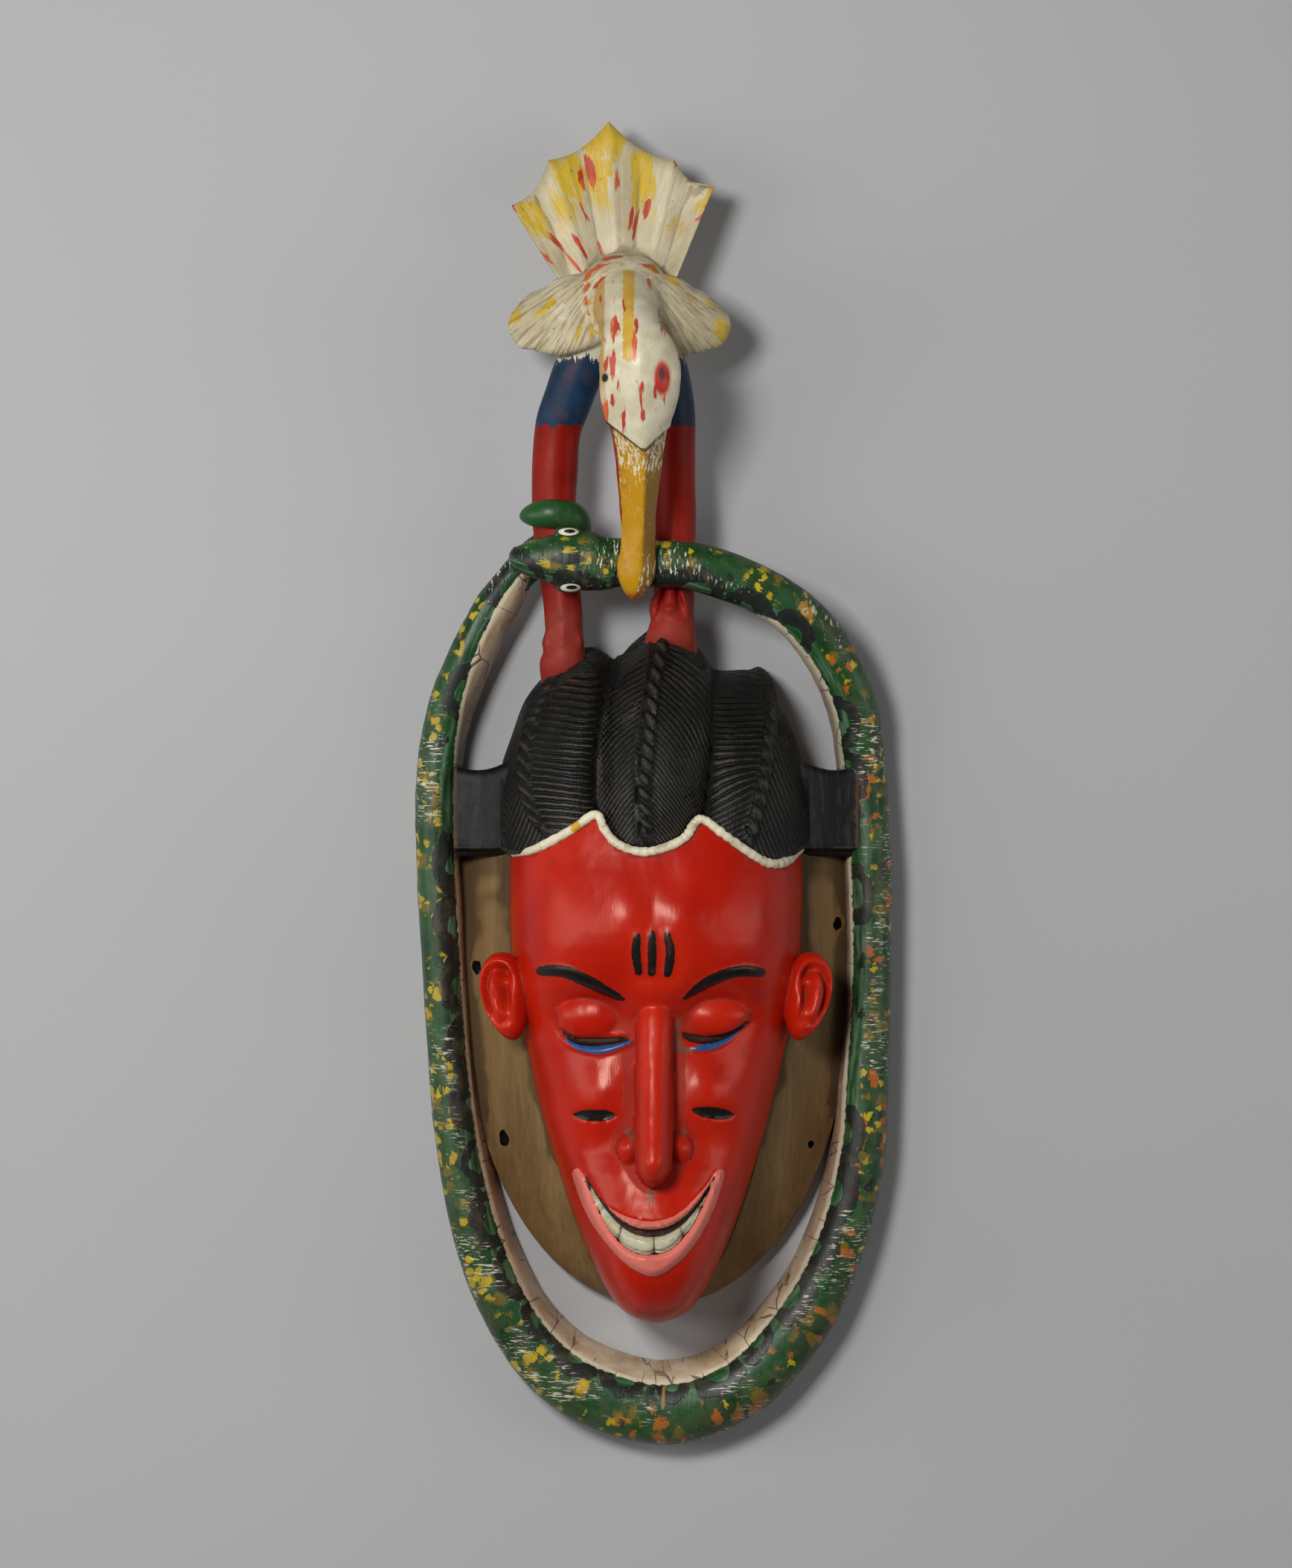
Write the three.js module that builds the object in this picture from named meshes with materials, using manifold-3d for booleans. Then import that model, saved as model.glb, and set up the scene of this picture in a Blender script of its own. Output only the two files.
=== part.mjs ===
// Painted zaouli mask: a red face under rolled black hair, a wide collar round it, a snake that rings
// the whole mask, and a long-beaked bird standing on the hair and pinning the snake's neck. It is carved
// from one block. Millimetres. It lies on its flat back: +Z is out of the face, +Y is towards the bird
// and +X is the viewer's right.
import * as THREE from 'three';
import { ParametricGeometry } from 'three/addons/geometries/ParametricGeometry.js';
import { mergeVertices } from 'three/addons/utils/BufferGeometryUtils.js';
import Module from 'manifold-3d';

const wasm = await Module();
wasm.setup();

// Driving sizes
const MASK_LENGTH = 746; // tip of the bird's tail to the foot of the snake ring
const WALL = 15; // wood left between the face and the hollow behind it
const RIM_LAND = 13; // width of the flat rim round the hollow
const RIM_THICKNESS = 14; // collar at its outer edge
const RING_DEPTH = 38; // snake ring, front to back
const FAN_THICKNESS = 11; // the bird's tail board
const LACING_BORE = 7; // holes in the collar for tying on the costume

// The free carving is written for a mask 746 mm long, and follows MASK_LENGTH as a whole.
const CARVED_LENGTH = 746;
const SCALE = MASK_LENGTH / CARVED_LENGTH;
const BACK_PLANE = 0;
const WELD = 1e-3;
const UP = [0, 0, 1];
const ACROSS = [1, 0, 0];
const ALONG = [0, 1, 0];

// Face: centre line, ends and back, the powers of its cross section, and its half width and height down
// the middle
const FACE = { x: 0.5, top: 22, chin: -301.5, back: 18, side: 2.9, front: 2.6 };
const FACE_WIDTH = [
  [22, 70], [0, 79], [-43, 82.5], [-88, 82], [-119, 80], [-145, 74.5], [-176, 67.5], [-198, 61.3],
  [-220, 54], [-243, 46], [-265, 37], [-285, 26.5], [-296, 16.5], [-301.5, 2],
];
const FACE_PROFILE = [
  [22, 70], [0, 98], [-45, 115], [-82, 121], [-108, 116], [-130, 104], [-160, 102],
  [-200, 105], [-240, 109], [-268, 110], [-286, 100], [-296, 82], [-301.5, 54],
];
const FEATURE_X = -1; // the features sit a little left of the outline's middle

// Smile: corner to corner, with a section that runs from the top of the upper lip over the teeth to the
// foot of the lower lip, as [share of the way down, lift over the skin], and closes inside the face
const SMILE = { x: -2.9, y: -213.5, halfWidth: 41, top: 26.5, foot: 57.5 };
const SMILE_SECTION = [
  [0, -1], [0.08, 2.6], [0.17, 1.6], [0.2, -1], [0.29, 0.8], [0.6, 1.2], [0.64, 0], [0.76, 4.4], [0.9, 4],
  [1, -1], [1, -9], [0, -9],
];

// Collar: an egg-shaped flange round the face
const COLLAR = {
  x: 1, y: -100, halfWidth: 111.5, down: 194, up: 108, downPower: 2.1, upPower: 6, slope: 0.95,
};

// Hair: its outline over the forehead and over the crown, and the three rolls between two valleys
const HAIRLINE = [
  [-86, -36], [-79, -38.5], [-66, -35], [-47, -25], [-33, -16], [-28, -24], [-21, -32], [-7.5, -36.5],
  [6, -34], [16.5, -28.5], [22, -20.5], [27, -19], [38, -27], [52, -37], [63, -43], [72, -42.5],
  [82, -36], [86, -34],
];
const HAIR_TOP = [
  [-87, 12], [-82, 26], [-74, 47.5], [-62, 63], [-50, 74], [-38, 78.5], [-29, 76], [-22, 71.5],
  [-13, 80.5], [0, 90], [12, 90], [22, 81], [28.5, 73], [33, 66], [54, 65.5], [62, 62], [70, 47.5],
  [78, 32], [83, 18], [87, 4],
];
const HAIR = { left: -87, right: 87, scalp: 92, side: 44, middle: 4 };
const ROLL_LIFT = [14, 22, 14];
const VALLEY_LEFT = [[-40, -31], [20, -32.5], [75, -22]];
const VALLEY_RIGHT = [[-40, 24], [20, 31], [75, 32]];

// Snake from its snout round the ring to its tail: x, y, height of the middle, half depth, half width,
// slant of the inner wall. Rows that are REST lie on the back plane and are RING_DEPTH deep.
const REST = [(RING_DEPTH / SCALE) * 0.4, (RING_DEPTH / SCALE) * 0.6];
const SNAKE_HEAD = [
  [-81.5, 127.6, 66, 1.5, 2, 0], [-79, 127.3, 66, 6, 5.5, 0], [-73, 126.5, 66, 9, 8.8, 0],
  [-64, 126.3, 67, 11.5, 12, 0], [-53, 126, 67.5, 13, 15, 0], [-41, 125.3, 67.5, 13.5, 16.8, 0],
  [-31, 124, 67, 13, 15.3, 0], [-19, 124, 66, 12.5, 13.8, 0],
];
const RING = [
  [0, 123.5, 66, 12.5, 13.3, 0], [24, 121.5, 65, 13, 13.5, 0], [60, 109, 57, 14, 13, 1], [89, 88, 44, 16, 13, 3],
  [110, 53, 27, 19, 12.5, 5], [118, 12, ...REST, 12, 5], [122, -45, ...REST, 11.5, 7],
  [122.5, -105, ...REST, 11, 7], [120.5, -160, ...REST, 12, 7], [117, -208, ...REST, 13, 8],
  [105, -258, ...REST, 14, 9], [84, -301, ...REST, 16, 11], [50, -339, ...REST, 17, 14],
  [5, -354.5, ...REST, 18, 16], [-44, -340, ...REST, 17, 15], [-76, -309, ...REST, 15, 12],
  [-98, -262, ...REST, 13.5, 10], [-111, -208, ...REST, 12, 9], [-117, -155, ...REST, 11, 8],
  [-121, -100, ...REST, 11, 7], [-124, -40, ...REST, 11, 6], [-124, 5, ...REST, 11, 5], [-119, 38, 20, 19, 10.5, 7],
  [-108, 71, 26, 16, 9.5, 10], [-95, 98, 29, 13, 8.5, 11], [-82, 117, 29, 11, 7.5, 9], [-71, 130, 28, 9, 7, 3],
  [-64, 137, 28, 8, 6, 0],
];
const TAIL_COIL = [
  [-84, 108, 28, 9, 7], [-73, 121, 26, 8.5, 7], [-58, 132, 28, 8, 6], [-44, 139, 33, 8, 5.5],
  [-41, 146, 44, 8, 5.5], [-46, 150.5, 55, 8, 5.5], [-57, 152, 59, 8, 5.5], [-67, 151.5, 56, 7, 5],
  [-72.5, 151, 50, 4, 4], [-74.5, 150.8, 47, 1, 1],
];

// Bird: limbs as x, y, z, half width, half thickness
const LEFT_LEG = [
  [-51, 56, 36, 13, 12], [-51, 68, 43, 13, 13], [-51, 82, 44, 11, 12], [-52.5, 107, 43, 11, 11.5],
  [-56.5, 148, 43, 12, 12], [-56.7, 172, 43, 12.6, 12], [-54.6, 197, 44, 13.2, 12.5], [-49, 216, 47, 13.6, 13],
  [-41, 236, 51, 14, 13.5], [-27, 258, 55, 15, 15],
];
const RIGHT_LEG = [
  [9, 72, 40, 15, 14], [9, 84, 50, 14, 13], [10, 97, 48, 11.8, 12], [11, 112, 45, 11.2, 11.5],
  [11, 150, 44, 12, 12], [10.5, 190, 44, 12.2, 12], [8, 220, 48, 13, 13], [-4, 256, 55, 16, 15],
];
const TOES = [
  [-13, -5], [-10.5, 5], [-6.5, 2], [-4, 8], [0, 9], [4, 8], [6.5, 2], [10.5, 5], [13, -5], [7, -12],
  [-7, -12],
];
const NECK = [
  [-17, 268, 60, 18, 20], [-16, 266, 82, 16, 18], [-14.5, 259, 98, 14, 15], [-12.5, 249, 109, 15.5, 14.5],
  [-10, 238, 113, 20, 15], [-8.5, 227, 113, 21.5, 15.5], [-9, 215, 111, 20, 15], [-9.2, 205, 108.5, 16, 13.5],
  [-8.5, 197, 106, 11.5, 11], [-6.5, 188, 103, 4.5, 6], [-5.5, 184.5, 102, 1, 1.5],
];
const BEAK = [
  [-9, 214, 97, 10, 6], [-8.8, 198, 97, 14.5, 9], [-9, 181, 94.5, 13, 9.5], [-9.2, 163, 91, 11.4, 9.5],
  [-9.3, 145, 87, 10.2, 9.5], [-10, 128, 83, 10, 9.3], [-10.8, 114, 79.5, 8.2, 8], [-12, 106, 77, 4.5, 5.5],
  [-12.8, 103, 75.5, 1, 1.5],
];
const WING = [
  [2, 270, 56, 10, 16], [12, 270, 60, 13, 19.5], [24, 266, 61, 14, 21], [37, 260, 59, 14, 20.5],
  [48, 254.5, 55, 11, 16], [56, 250.5, 51, 7, 9], [59.5, 249, 49, 1, 1.5],
];
const BIRD_X = -20;

// Tail fan: tips of its feathers from left to right, the way a scallop dips between two, and its root
const FAN_TIPS = [[-80.5, 325.5], [-60, 351], [-26, 373], [11, 351], [33, 336]];
const FAN = { dip: 4.5, rootX: -20, rootY: 272, rootHalf: 27, z: 47, lean: -0.1, rib: 1.6 };
const FAN_RINGS = [[0, 0], [0, 0.9], [0.35, 1], [0.7, 1], [0.97, 0.7], [1, 0]]; // reach and thickness

const { clamp, degToRad } = THREE.MathUtils;
const power = (value, exponent) => Math.sign(value) * Math.abs(value) ** exponent;
const hill = (x, y, cx, cy, sx, sy) => Math.exp(-(((x - cx) / sx) ** 2) - ((y - cy) / sy) ** 2);
const bothSides = (form) => [form(-1), form(1)];

// Value at x of a smooth curve through [x, value] pairs, which rise or fall in x
function along(pairs, x) {
  const rising = pairs[0][0] < pairs[pairs.length - 1][0];
  const p = rising ? pairs : [...pairs].reverse();
  const at = clamp(x, p[0][0], p[p.length - 1][0]);
  const past = p.findIndex((pair) => pair[0] >= at);
  const i = Math.max(past - 1, 0);
  const slope = (j) => {
    const a = p[Math.max(j - 1, 0)];
    const b = p[Math.min(j + 1, p.length - 1)];
    return (b[1] - a[1]) / (b[0] - a[0]);
  };
  const width = p[i + 1][0] - p[i][0];
  const t = (at - p[i][0]) / width;
  const s = t * t * (3 - 2 * t);
  const bend = width * (slope(i) * t * (1 - t) ** 2 - slope(i + 1) * t * t * (1 - t));
  return p[i][1] * (1 - s) + p[i + 1][1] * s + bend;
}

// Catmull-Rom blend of rows of numbers, t from 0 at the first row to 1 at the last
function blendRows(rows, t) {
  const s = clamp(t, 0, 1) * (rows.length - 1);
  const i = Math.min(Math.floor(s), rows.length - 2);
  const f = s - i;
  const [a, b, c, d] = [i - 1, i, i + 1, i + 2].map((k) => rows[clamp(k, 0, rows.length - 1)]);
  return b.map((_, k) => {
    const square = 2 * a[k] - 5 * b[k] + 4 * c[k] - d[k];
    const cube = 3 * b[k] - a[k] - 3 * c[k] + d[k];
    return 0.5 * (2 * b[k] + (c[k] - a[k]) * f + square * f * f + cube * f ** 3);
  });
}

// Closes a geometry: merges what touches, drops collapsed triangles and turns the faces outwards
function toManifold(geometry) {
  const bare = new THREE.BufferGeometry();
  bare.setAttribute('position', geometry.getAttribute('position').clone());
  bare.setIndex(geometry.index);
  const merged = mergeVertices(bare, WELD);
  const vertices = merged.getAttribute('position').array;
  const corner = (k) => new THREE.Vector3().fromArray(vertices, 3 * k);
  const triangles = [];
  let volume = 0;
  for (let i = 0; i < merged.index.count; i += 3) {
    const [a, b, c] = merged.index.array.slice(i, i + 3);
    if (a !== b && b !== c && c !== a) {
      triangles.push([a, b, c]);
      volume += corner(a).dot(corner(b).cross(corner(c)));
    }
  }
  const outward = volume < 0 ? triangles.map(([a, b, c]) => [a, c, b]) : triangles;
  const triVerts = new Uint32Array(outward.flat());
  const vertProperties = new Float32Array(vertices);
  return new wasm.Manifold(new wasm.Mesh({ numProp: 3, vertProperties, triVerts }));
}

// Solid of a surface point(i, v): i counts the points of a section, which closes on itself, and v runs
// from 0 to 1 between two ends that each shrink to a point. Nothing reaches under the floor, which is the
// flat back unless the solid is a cutting tool.
function solid(point, around, lengthwise, floor = BACK_PLANE) {
  const surface = (u, v, target) => {
    const [x, y, z] = point(Math.round(u * around) % around, v);
    target.set(x * SCALE, y * SCALE, Math.max(z * SCALE, floor));
  };
  return toManifold(new ParametricGeometry(surface, around, lengthwise));
}

// Limb along stations [x, y, z, size 1, size 2, ...]: size 1 is measured along the direction ref, as far
// as that is square to the limb, and size 2 across both. shape(angle, sizes) gives the two offsets of a
// section.
function limb(stations, ref, around, lengthwise, shape = oval) {
  const axis = new THREE.Vector3(...ref);
  const place = (t) => new THREE.Vector3(...blendRows(stations, t).slice(0, 3));
  return solid((i, v) => {
    if (v === 0 || v === 1) return place(v).toArray();
    const tangent = place(v + 0.004).sub(place(v - 0.004)).normalize();
    const first = axis.clone().addScaledVector(tangent, -axis.dot(tangent)).normalize();
    const second = tangent.clone().cross(first);
    const [d1, d2] = shape((2 * Math.PI * i) / around, blendRows(stations, v).slice(3));
    return place(v).addScaledVector(first, d1).addScaledVector(second, d2).toArray();
  }, around, lengthwise);
}

function oval(angle, [a, b]) {
  return [a * Math.cos(angle), b * Math.sin(angle)];
}

// Ellipsoid with a centre, three half sizes and a turn in degrees about x, y and z
function egg([x, y, z], [a, b, c], turn, around, lengthwise) {
  const geometry = new THREE.SphereGeometry(1, around, lengthwise);
  geometry.applyMatrix4(new THREE.Matrix4().compose(
    new THREE.Vector3(x, y, z).multiplyScalar(SCALE),
    new THREE.Quaternion().setFromEuler(new THREE.Euler(...turn.map(degToRad))),
    new THREE.Vector3(a, b, c).multiplyScalar(SCALE),
  ));
  return toManifold(geometry);
}

// Low forms of the skin: brow bosses, sockets, bridge, cheekbones and the swell round the mouth
function faceRelief(x, y) {
  const across = Math.abs(x - FEATURE_X);
  const boss = 3 * hill(across, y, 17, -72, 15, 17);
  const socket = -11 * hill(across, y, 35, -124, 20, 13);
  const bridge = 5 * hill(across, y, 0, -118, 17, 10);
  const cheek = 5 * hill(across, y, 34, -170, 17, 15) - 3 * hill(across, y, 24, -199, 16, 12);
  const muzzle = 7 * hill(across, y, 0, -247, 34, 26);
  return boss + socket + bridge + cheek + muzzle;
}

// Height of the face's front over the point x, y
function faceHeight(x, y) {
  const half = along(FACE_WIDTH, y);
  const c = clamp(Math.abs(x - FACE.x) / half, 0, 1) ** (FACE.side / 2);
  const s = Math.sqrt(1 - c * c);
  const depth = along(FACE_PROFILE, y) - FACE.back;
  return FACE.back + depth * s ** (2 / FACE.front) + faceRelief(x, y) * s;
}

// Face: sections from chin to crown, each an arch closed by a flat back
function face() {
  const archSteps = 24;
  const backSteps = 4;
  return solid((i, v) => {
    const ease = v < 0.5 ? 0.5 * (2 * v) ** 1.35 : v;
    const y = FACE.chin + (FACE.top - FACE.chin) * ease;
    if (v === 0 || v === 1) return [FACE.x, y, 40];
    const half = along(FACE_WIDTH, y);
    if (i > archSteps) return [FACE.x + half * ((2 * (i - archSteps)) / backSteps - 1), y, FACE.back];
    const x = FACE.x + half * power(Math.cos((Math.PI * i) / archSteps), 2 / FACE.side);
    return [x, y, faceHeight(x, y)];
  }, archSteps + backSteps, 27);
}

// Stations of a line drawn on the face: points [x, y], measured out from the features' middle on one side
function onFace(side, line, a, b) {
  return line.map(([dx, y], i) => {
    const x = FEATURE_X + side * dx;
    const end = i === 0 || i === line.length - 1 ? 0.35 : 1;
    return [x, y, faceHeight(x, y), a * end, b * end];
  });
}

function mouth() {
  return solid((i, v) => {
    const s = 2 * v - 1;
    const [share, lift] = SMILE_SECTION[i];
    const arch = 1 - s * s;
    const x = SMILE.x + SMILE.halfWidth * s;
    const y = SMILE.y - arch * (SMILE.top + (SMILE.foot - SMILE.top) * share);
    return [x, y, faceHeight(x, y) + (v === 0 || v === 1 ? 0 : lift)];
  }, SMILE_SECTION.length, 12);
}

function nose() {
  const ridge = [
    [1, -116, 102, 7, 8], [1, -130, 107, 10.4, 9], [1, -158, 111, 10.2, 12], [0.7, -188, 117, 10, 15],
    [0.5, -206, 121, 9.8, 17], [0.3, -214, 119, 7.5, 14], [0.2, -219, 116, 2, 5],
  ];
  const ala = (side) => {
    const x = FEATURE_X + 1.5 + side * 14.5;
    return egg([x, -202, faceHeight(x, -202) + 1], [6.5, 9.5, 9], [0, 0, side * 10], 8, 4);
  };
  return [limb(ridge, ACROSS, 8, 9), ...bothSides(ala)];
}

// Lids, brows and the scars of forehead and cheeks, each a low ridge on the skin
function faceMarks() {
  const eyelid = (side) => {
    const x = FEATURE_X + side * 32.5;
    return egg([x, -128, faceHeight(x, -128) - 1], [19, 12, 9], [0, 0, side * 3], 10, 6);
  };
  const lidLine = [[14, -141], [26, -145], [38, -144], [51, -134]];
  const lowerLid = (side) => limb(onFace(side, lidLine, 3, 2.4), UP, 4, 6);
  const browLine = [[17, -117.5], [29, -109], [43, -103], [63, -104]];
  const brow = (side) => limb(onFace(side, browLine, 2.6, 2.6), UP, 4, 6);
  const scar = (side) => {
    const x = FEATURE_X + side * 32.5;
    return egg([x, -182, faceHeight(x, -182)], [12, 3.2, 1.8], [0, 0, -side * 3], 6, 4);
  };
  const bar = (x) => limb(onFace(1, [[x, -82], [x * 1.1, -93], [x, -104]], 2.4, 2), UP, 4, 3);
  const bars = [-8, 0, 8].map(bar);
  return [...bothSides(eyelid), ...bothSides(lowerLid), ...bothSides(brow), ...bothSides(scar), ...bars];
}

// Ear: a flat oval shell standing out from the temple, with a sunk bowl
function ear(side) {
  const x = FACE.x + side * 83.5;
  const turn = [0, side * 20, -side * 12];
  const bowl = egg([x + side * 2, -114, 82], [6, 14, 9], turn, 8, 5);
  return egg([x, -117, 66], [12.5, 25.5, 13], turn, 12, 8).subtract(bowl);
}

function collarHalfWidth(y) {
  const below = y < COLLAR.y;
  const s = clamp(Math.abs(y - COLLAR.y) / (below ? COLLAR.down : COLLAR.up), 0, 1);
  const bulge = below ? COLLAR.downPower : COLLAR.upPower;
  return COLLAR.halfWidth * (1 - s ** bulge) ** (1 / bulge);
}

// Flange that rises from its rim towards the face, flat behind
function collar() {
  const rim = RIM_THICKNESS / SCALE;
  const count = 10;
  return solid((i, v) => {
    const angle = Math.PI * (v - 0.5);
    const y = COLLAR.y + (angle < 0 ? COLLAR.down : COLLAR.up) * power(Math.sin(angle), 0.9);
    if (v === 0 || v === 1) return [COLLAR.x, y, 4];
    const half = Math.max(collarHalfWidth(y), 4);
    const plateau = rim + COLLAR.slope * half * 0.4;
    const right = [[half, 0], [half, 0.75 * rim], [half - 1.5, rim], [half * 0.6, plateau], [half * 0.2, plateau]];
    const [x, z] = i < 5 ? right[i] : right[count - 1 - i];
    return [COLLAR.x + (i < 5 ? x : -x), y, z];
  }, count, 20);
}

// Hollow behind the face for the wearer: flared inside the collar and narrowing to a bowl under the face
function hollow() {
  const wall = WALL / SCALE;
  const land = RIM_LAND / SCALE;
  const foot = COLLAR.y - COLLAR.down + land;
  const crown = 34;
  const archSteps = 14;
  const backSteps = 2;
  return solid((i, v) => {
    const y = foot + (crown - foot) * v;
    const end = Math.sqrt(Math.max(0, 1 - (2 * v - 1) ** 6));
    if (v === 0 || v === 1 || i > archSteps) return [COLLAR.x, y, -3];
    const rimY = Math.min(y, COLLAR.y + COLLAR.up * 0.8);
    const mouthHalf = Math.max(collarHalfWidth(rimY) - land, 3) * end;
    const bowlHalf = Math.min(Math.max(along(FACE_WIDTH, y - 8) - wall, 2) * end, mouthHalf);
    const front = Math.min(along(FACE_PROFILE, y - 6), along(FACE_PROFILE, y + 4));
    const height = Math.max(front - wall, 8) * end;
    const angle = (Math.PI * i) / archSteps;
    const rise = Math.max(Math.sin(angle), 0);
    const half = bowlHalf + (mouthHalf - bowlHalf) * (1 - rise) ** 3;
    const x = COLLAR.x + half * power(Math.cos(angle), 0.8);
    const under = Math.max(faceHeight(x, y) - wall, 20);
    return [x, y, Math.min(height * rise ** 0.85 - 3 * (1 - rise), under)];
  }, archSteps + backSteps, 16, -5);
}

function lacingHoles() {
  const places = [[-100.6, -102.5], [-85.1, -199], [103, -78], [88, -202.5]];
  return places.map(([x, y]) => {
    const hole = new THREE.CylinderGeometry(LACING_BORE / 2, LACING_BORE / 2, 120 * SCALE, 12);
    hole.rotateX(Math.PI / 2);
    hole.translate(x * SCALE, y * SCALE, 0);
    return toManifold(hole);
  });
}

// Lift of the rolls over the scalp: an arch between two valleys, which leaves a crisp line between two rolls
function rollLift(x, y) {
  const bounds = [HAIR.left, along(VALLEY_LEFT, y), along(VALLEY_RIGHT, y), HAIR.right];
  const roll = clamp(bounds.filter((bound) => bound < x).length - 1, 0, 2);
  const across = (2 * (x - bounds[roll])) / (bounds[roll + 1] - bounds[roll]) - 1;
  return ROLL_LIFT[roll] * Math.sqrt(Math.max(0, 1 - across * across));
}

// Hair: slices side by side, each an arch from the hairline over the crown to the flat back
function hair() {
  const archSteps = 11;
  return solid((i, v) => {
    const x = HAIR.left + (HAIR.right - HAIR.left) * v;
    const side = Math.abs(2 * v - 1) ** 4;
    if (v === 0 || v === 1) return [x, HAIR.middle, 24];
    const lineY = along(HAIRLINE, x);
    const top = Math.max(along(HAIR_TOP, x), lineY + 12);
    const scalp = HAIR.scalp - (HAIR.scalp - HAIR.side) * side;
    const back = [[top, 0], [lineY, 0], [lineY, scalp * 0.6], [lineY + 1, scalp * 0.95]];
    if (i > archSteps) return [x, ...back[i - archSteps - 1]];
    const angle = (Math.PI / 2) * (i / archSteps) ** 0.9;
    const y = lineY + (top - lineY) * Math.sin(angle) ** 0.8;
    const front = scalp + rollLift(x, y);
    return [x, y, i === 0 ? front * 0.97 : front * power(Math.cos(angle), 0.8)];
  }, archSteps + 5, 30);
}

// Cream bead along the hairline
function hairline() {
  const line = HAIRLINE.slice(1, -1);
  const rows = line.map(([x, y]) => [x, y, Math.max(faceHeight(x, y), 30) + 1, 2.6, 2]);
  return limb(rows, UP, 4, 20);
}

// Block that ties the hair to the ring, on each side
function bracket(side) {
  const block = new THREE.BoxGeometry(38, 56, 48);
  const position = block.getAttribute('position');
  for (let i = 0; i < position.count; i += 1) {
    const outer = position.getX(i) * side > 0;
    if (outer && position.getZ(i) > 0) position.setZ(i, position.getZ(i) - 9);
    if (outer && position.getY(i) > 0) position.setY(i, position.getY(i) - 4);
  }
  block.translate(FACE.x + side * 98, -12, 24);
  block.scale(SCALE, SCALE, SCALE);
  return toManifold(block);
}

// Ring section: a rounded front, with the inner wall slanting in towards the back
function ringSection(angle, [depth, width, slant]) {
  const z = depth * power(Math.sin(angle), 0.8);
  const inwards = Math.max(0, Math.cos(angle));
  return [z, width * power(Math.cos(angle), 0.85) + (slant * inwards * (1 - z / depth)) / 2];
}

function snake() {
  const eye = (y) => egg([-46.5, y, 68], [8, 5.5, 7], [0, 0, 0], 6, 4);
  return [
    limb([...SNAKE_HEAD, ...RING], UP, 10, 62, ringSection),
    limb(TAIL_COIL, ALONG, 6, 14),
    eye(141),
    eye(111.5),
  ];
}

// Foot: three carved toes side by side, splayed over the hair
function foot(x, y, z) {
  return solid((i, v) => {
    const size = v === 0 || v === 1 ? 0 : Math.sin(Math.PI * (0.08 + 0.84 * v)) ** 0.5;
    return [x + TOES[i][0] * size * (1.1 - 0.2 * v), y - 13 + 28 * v, z + TOES[i][1] * size - 3 * (1 - v)];
  }, TOES.length, 5);
}

function wing(side) {
  return limb(WING.map(([dx, ...rest]) => [BIRD_X + side * dx, ...rest]), UP, 8, 9);
}

// Edge of the fan from its left to its right: each feather ends in a tip, with a shallow scallop between two
function fanEdge() {
  const steps = 4;
  const edge = [];
  FAN_TIPS.slice(1).forEach(([bx, by], i) => {
    const [ax, ay] = FAN_TIPS[i];
    for (let k = i === 0 ? 0 : 1; k <= steps; k += 1) {
      const t = k / steps;
      const dip = FAN.dip * 4 * t * (1 - t);
      const out = new THREE.Vector2(ax + (bx - ax) * t - FAN.rootX, ay + (by - ay) * t - FAN.rootY);
      const reach = 1 - dip / out.length();
      edge.push([FAN.rootX + out.x * reach, FAN.rootY + out.y * reach, Math.cos(2 * Math.PI * t)]);
    }
  });
  return edge;
}

// Scalloped tail fan: feathers side by side, each ribbed front and back
function tailFan() {
  const half = FAN_THICKNESS / SCALE / 2;
  const edge = fanEdge();
  const count = edge.length;
  const steps = FAN_RINGS.length - 1;
  return solid((i, v) => {
    const k = i < count ? i : 2 * count - 1 - i;
    const [ex, ey, rib] = edge[k];
    const [reach, share] = FAN_RINGS[Math.round(v * steps)];
    const rootX = FAN.rootX + (v === 0 ? 0 : FAN.rootHalf * ((2 * k) / (count - 1) - 1));
    const x = rootX + (ex - rootX) * reach;
    const y = FAN.rootY + (ey - FAN.rootY) * reach;
    const thick = (half + FAN.rib * rib) * share;
    return [x, y, FAN.z + FAN.lean * (y - FAN.rootY) + (i < count ? thick : -thick)];
  }, 2 * count, steps);
}

function bird() {
  return [
    limb(LEFT_LEG, ACROSS, 8, 11), limb(RIGHT_LEG, ACROSS, 8, 10), foot(-51, 74, 50), foot(9, 91, 57),
    egg([-17, 270, 57], [27, 28, 30], [0, 0, 0], 12, 8), ...bothSides(wing), tailFan(),
    limb(NECK, ACROSS, 12, 13), limb(BEAK, ACROSS, 8, 9),
  ];
}

// Wood fills any small pocket that closes up between two forms
function filled(manifold) {
  return wasm.Manifold.union(manifold.decompose().filter((shell) => shell.volume() > 0));
}

function carving() {
  const head = wasm.Manifold.union([
    face(), collar(), hair(), hairline(), mouth(), ...nose(), ...faceMarks(), ...bothSides(ear),
    ...bothSides(bracket),
  ]);
  const hollowed = wasm.Manifold.difference([head, hollow(), ...lacingHoles()]);
  return filled(wasm.Manifold.union([hollowed, ...snake(), ...bird()]));
}

function toGeometry(manifold) {
  const mesh = manifold.getMesh();
  const geometry = new THREE.BufferGeometry();
  geometry.setAttribute('position', new THREE.BufferAttribute(new Float32Array(mesh.vertProperties), 3));
  geometry.setIndex(new THREE.BufferAttribute(new Uint32Array(mesh.triVerts), 1));
  geometry.computeVertexNormals();
  return geometry;
}

// Centre the carving over the origin, on the surface that it lies on
const geometry = toGeometry(carving());
geometry.computeBoundingBox();
const centre = geometry.boundingBox.getCenter(new THREE.Vector3());
geometry.translate(-centre.x, -centre.y, -geometry.boundingBox.min.z);

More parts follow.
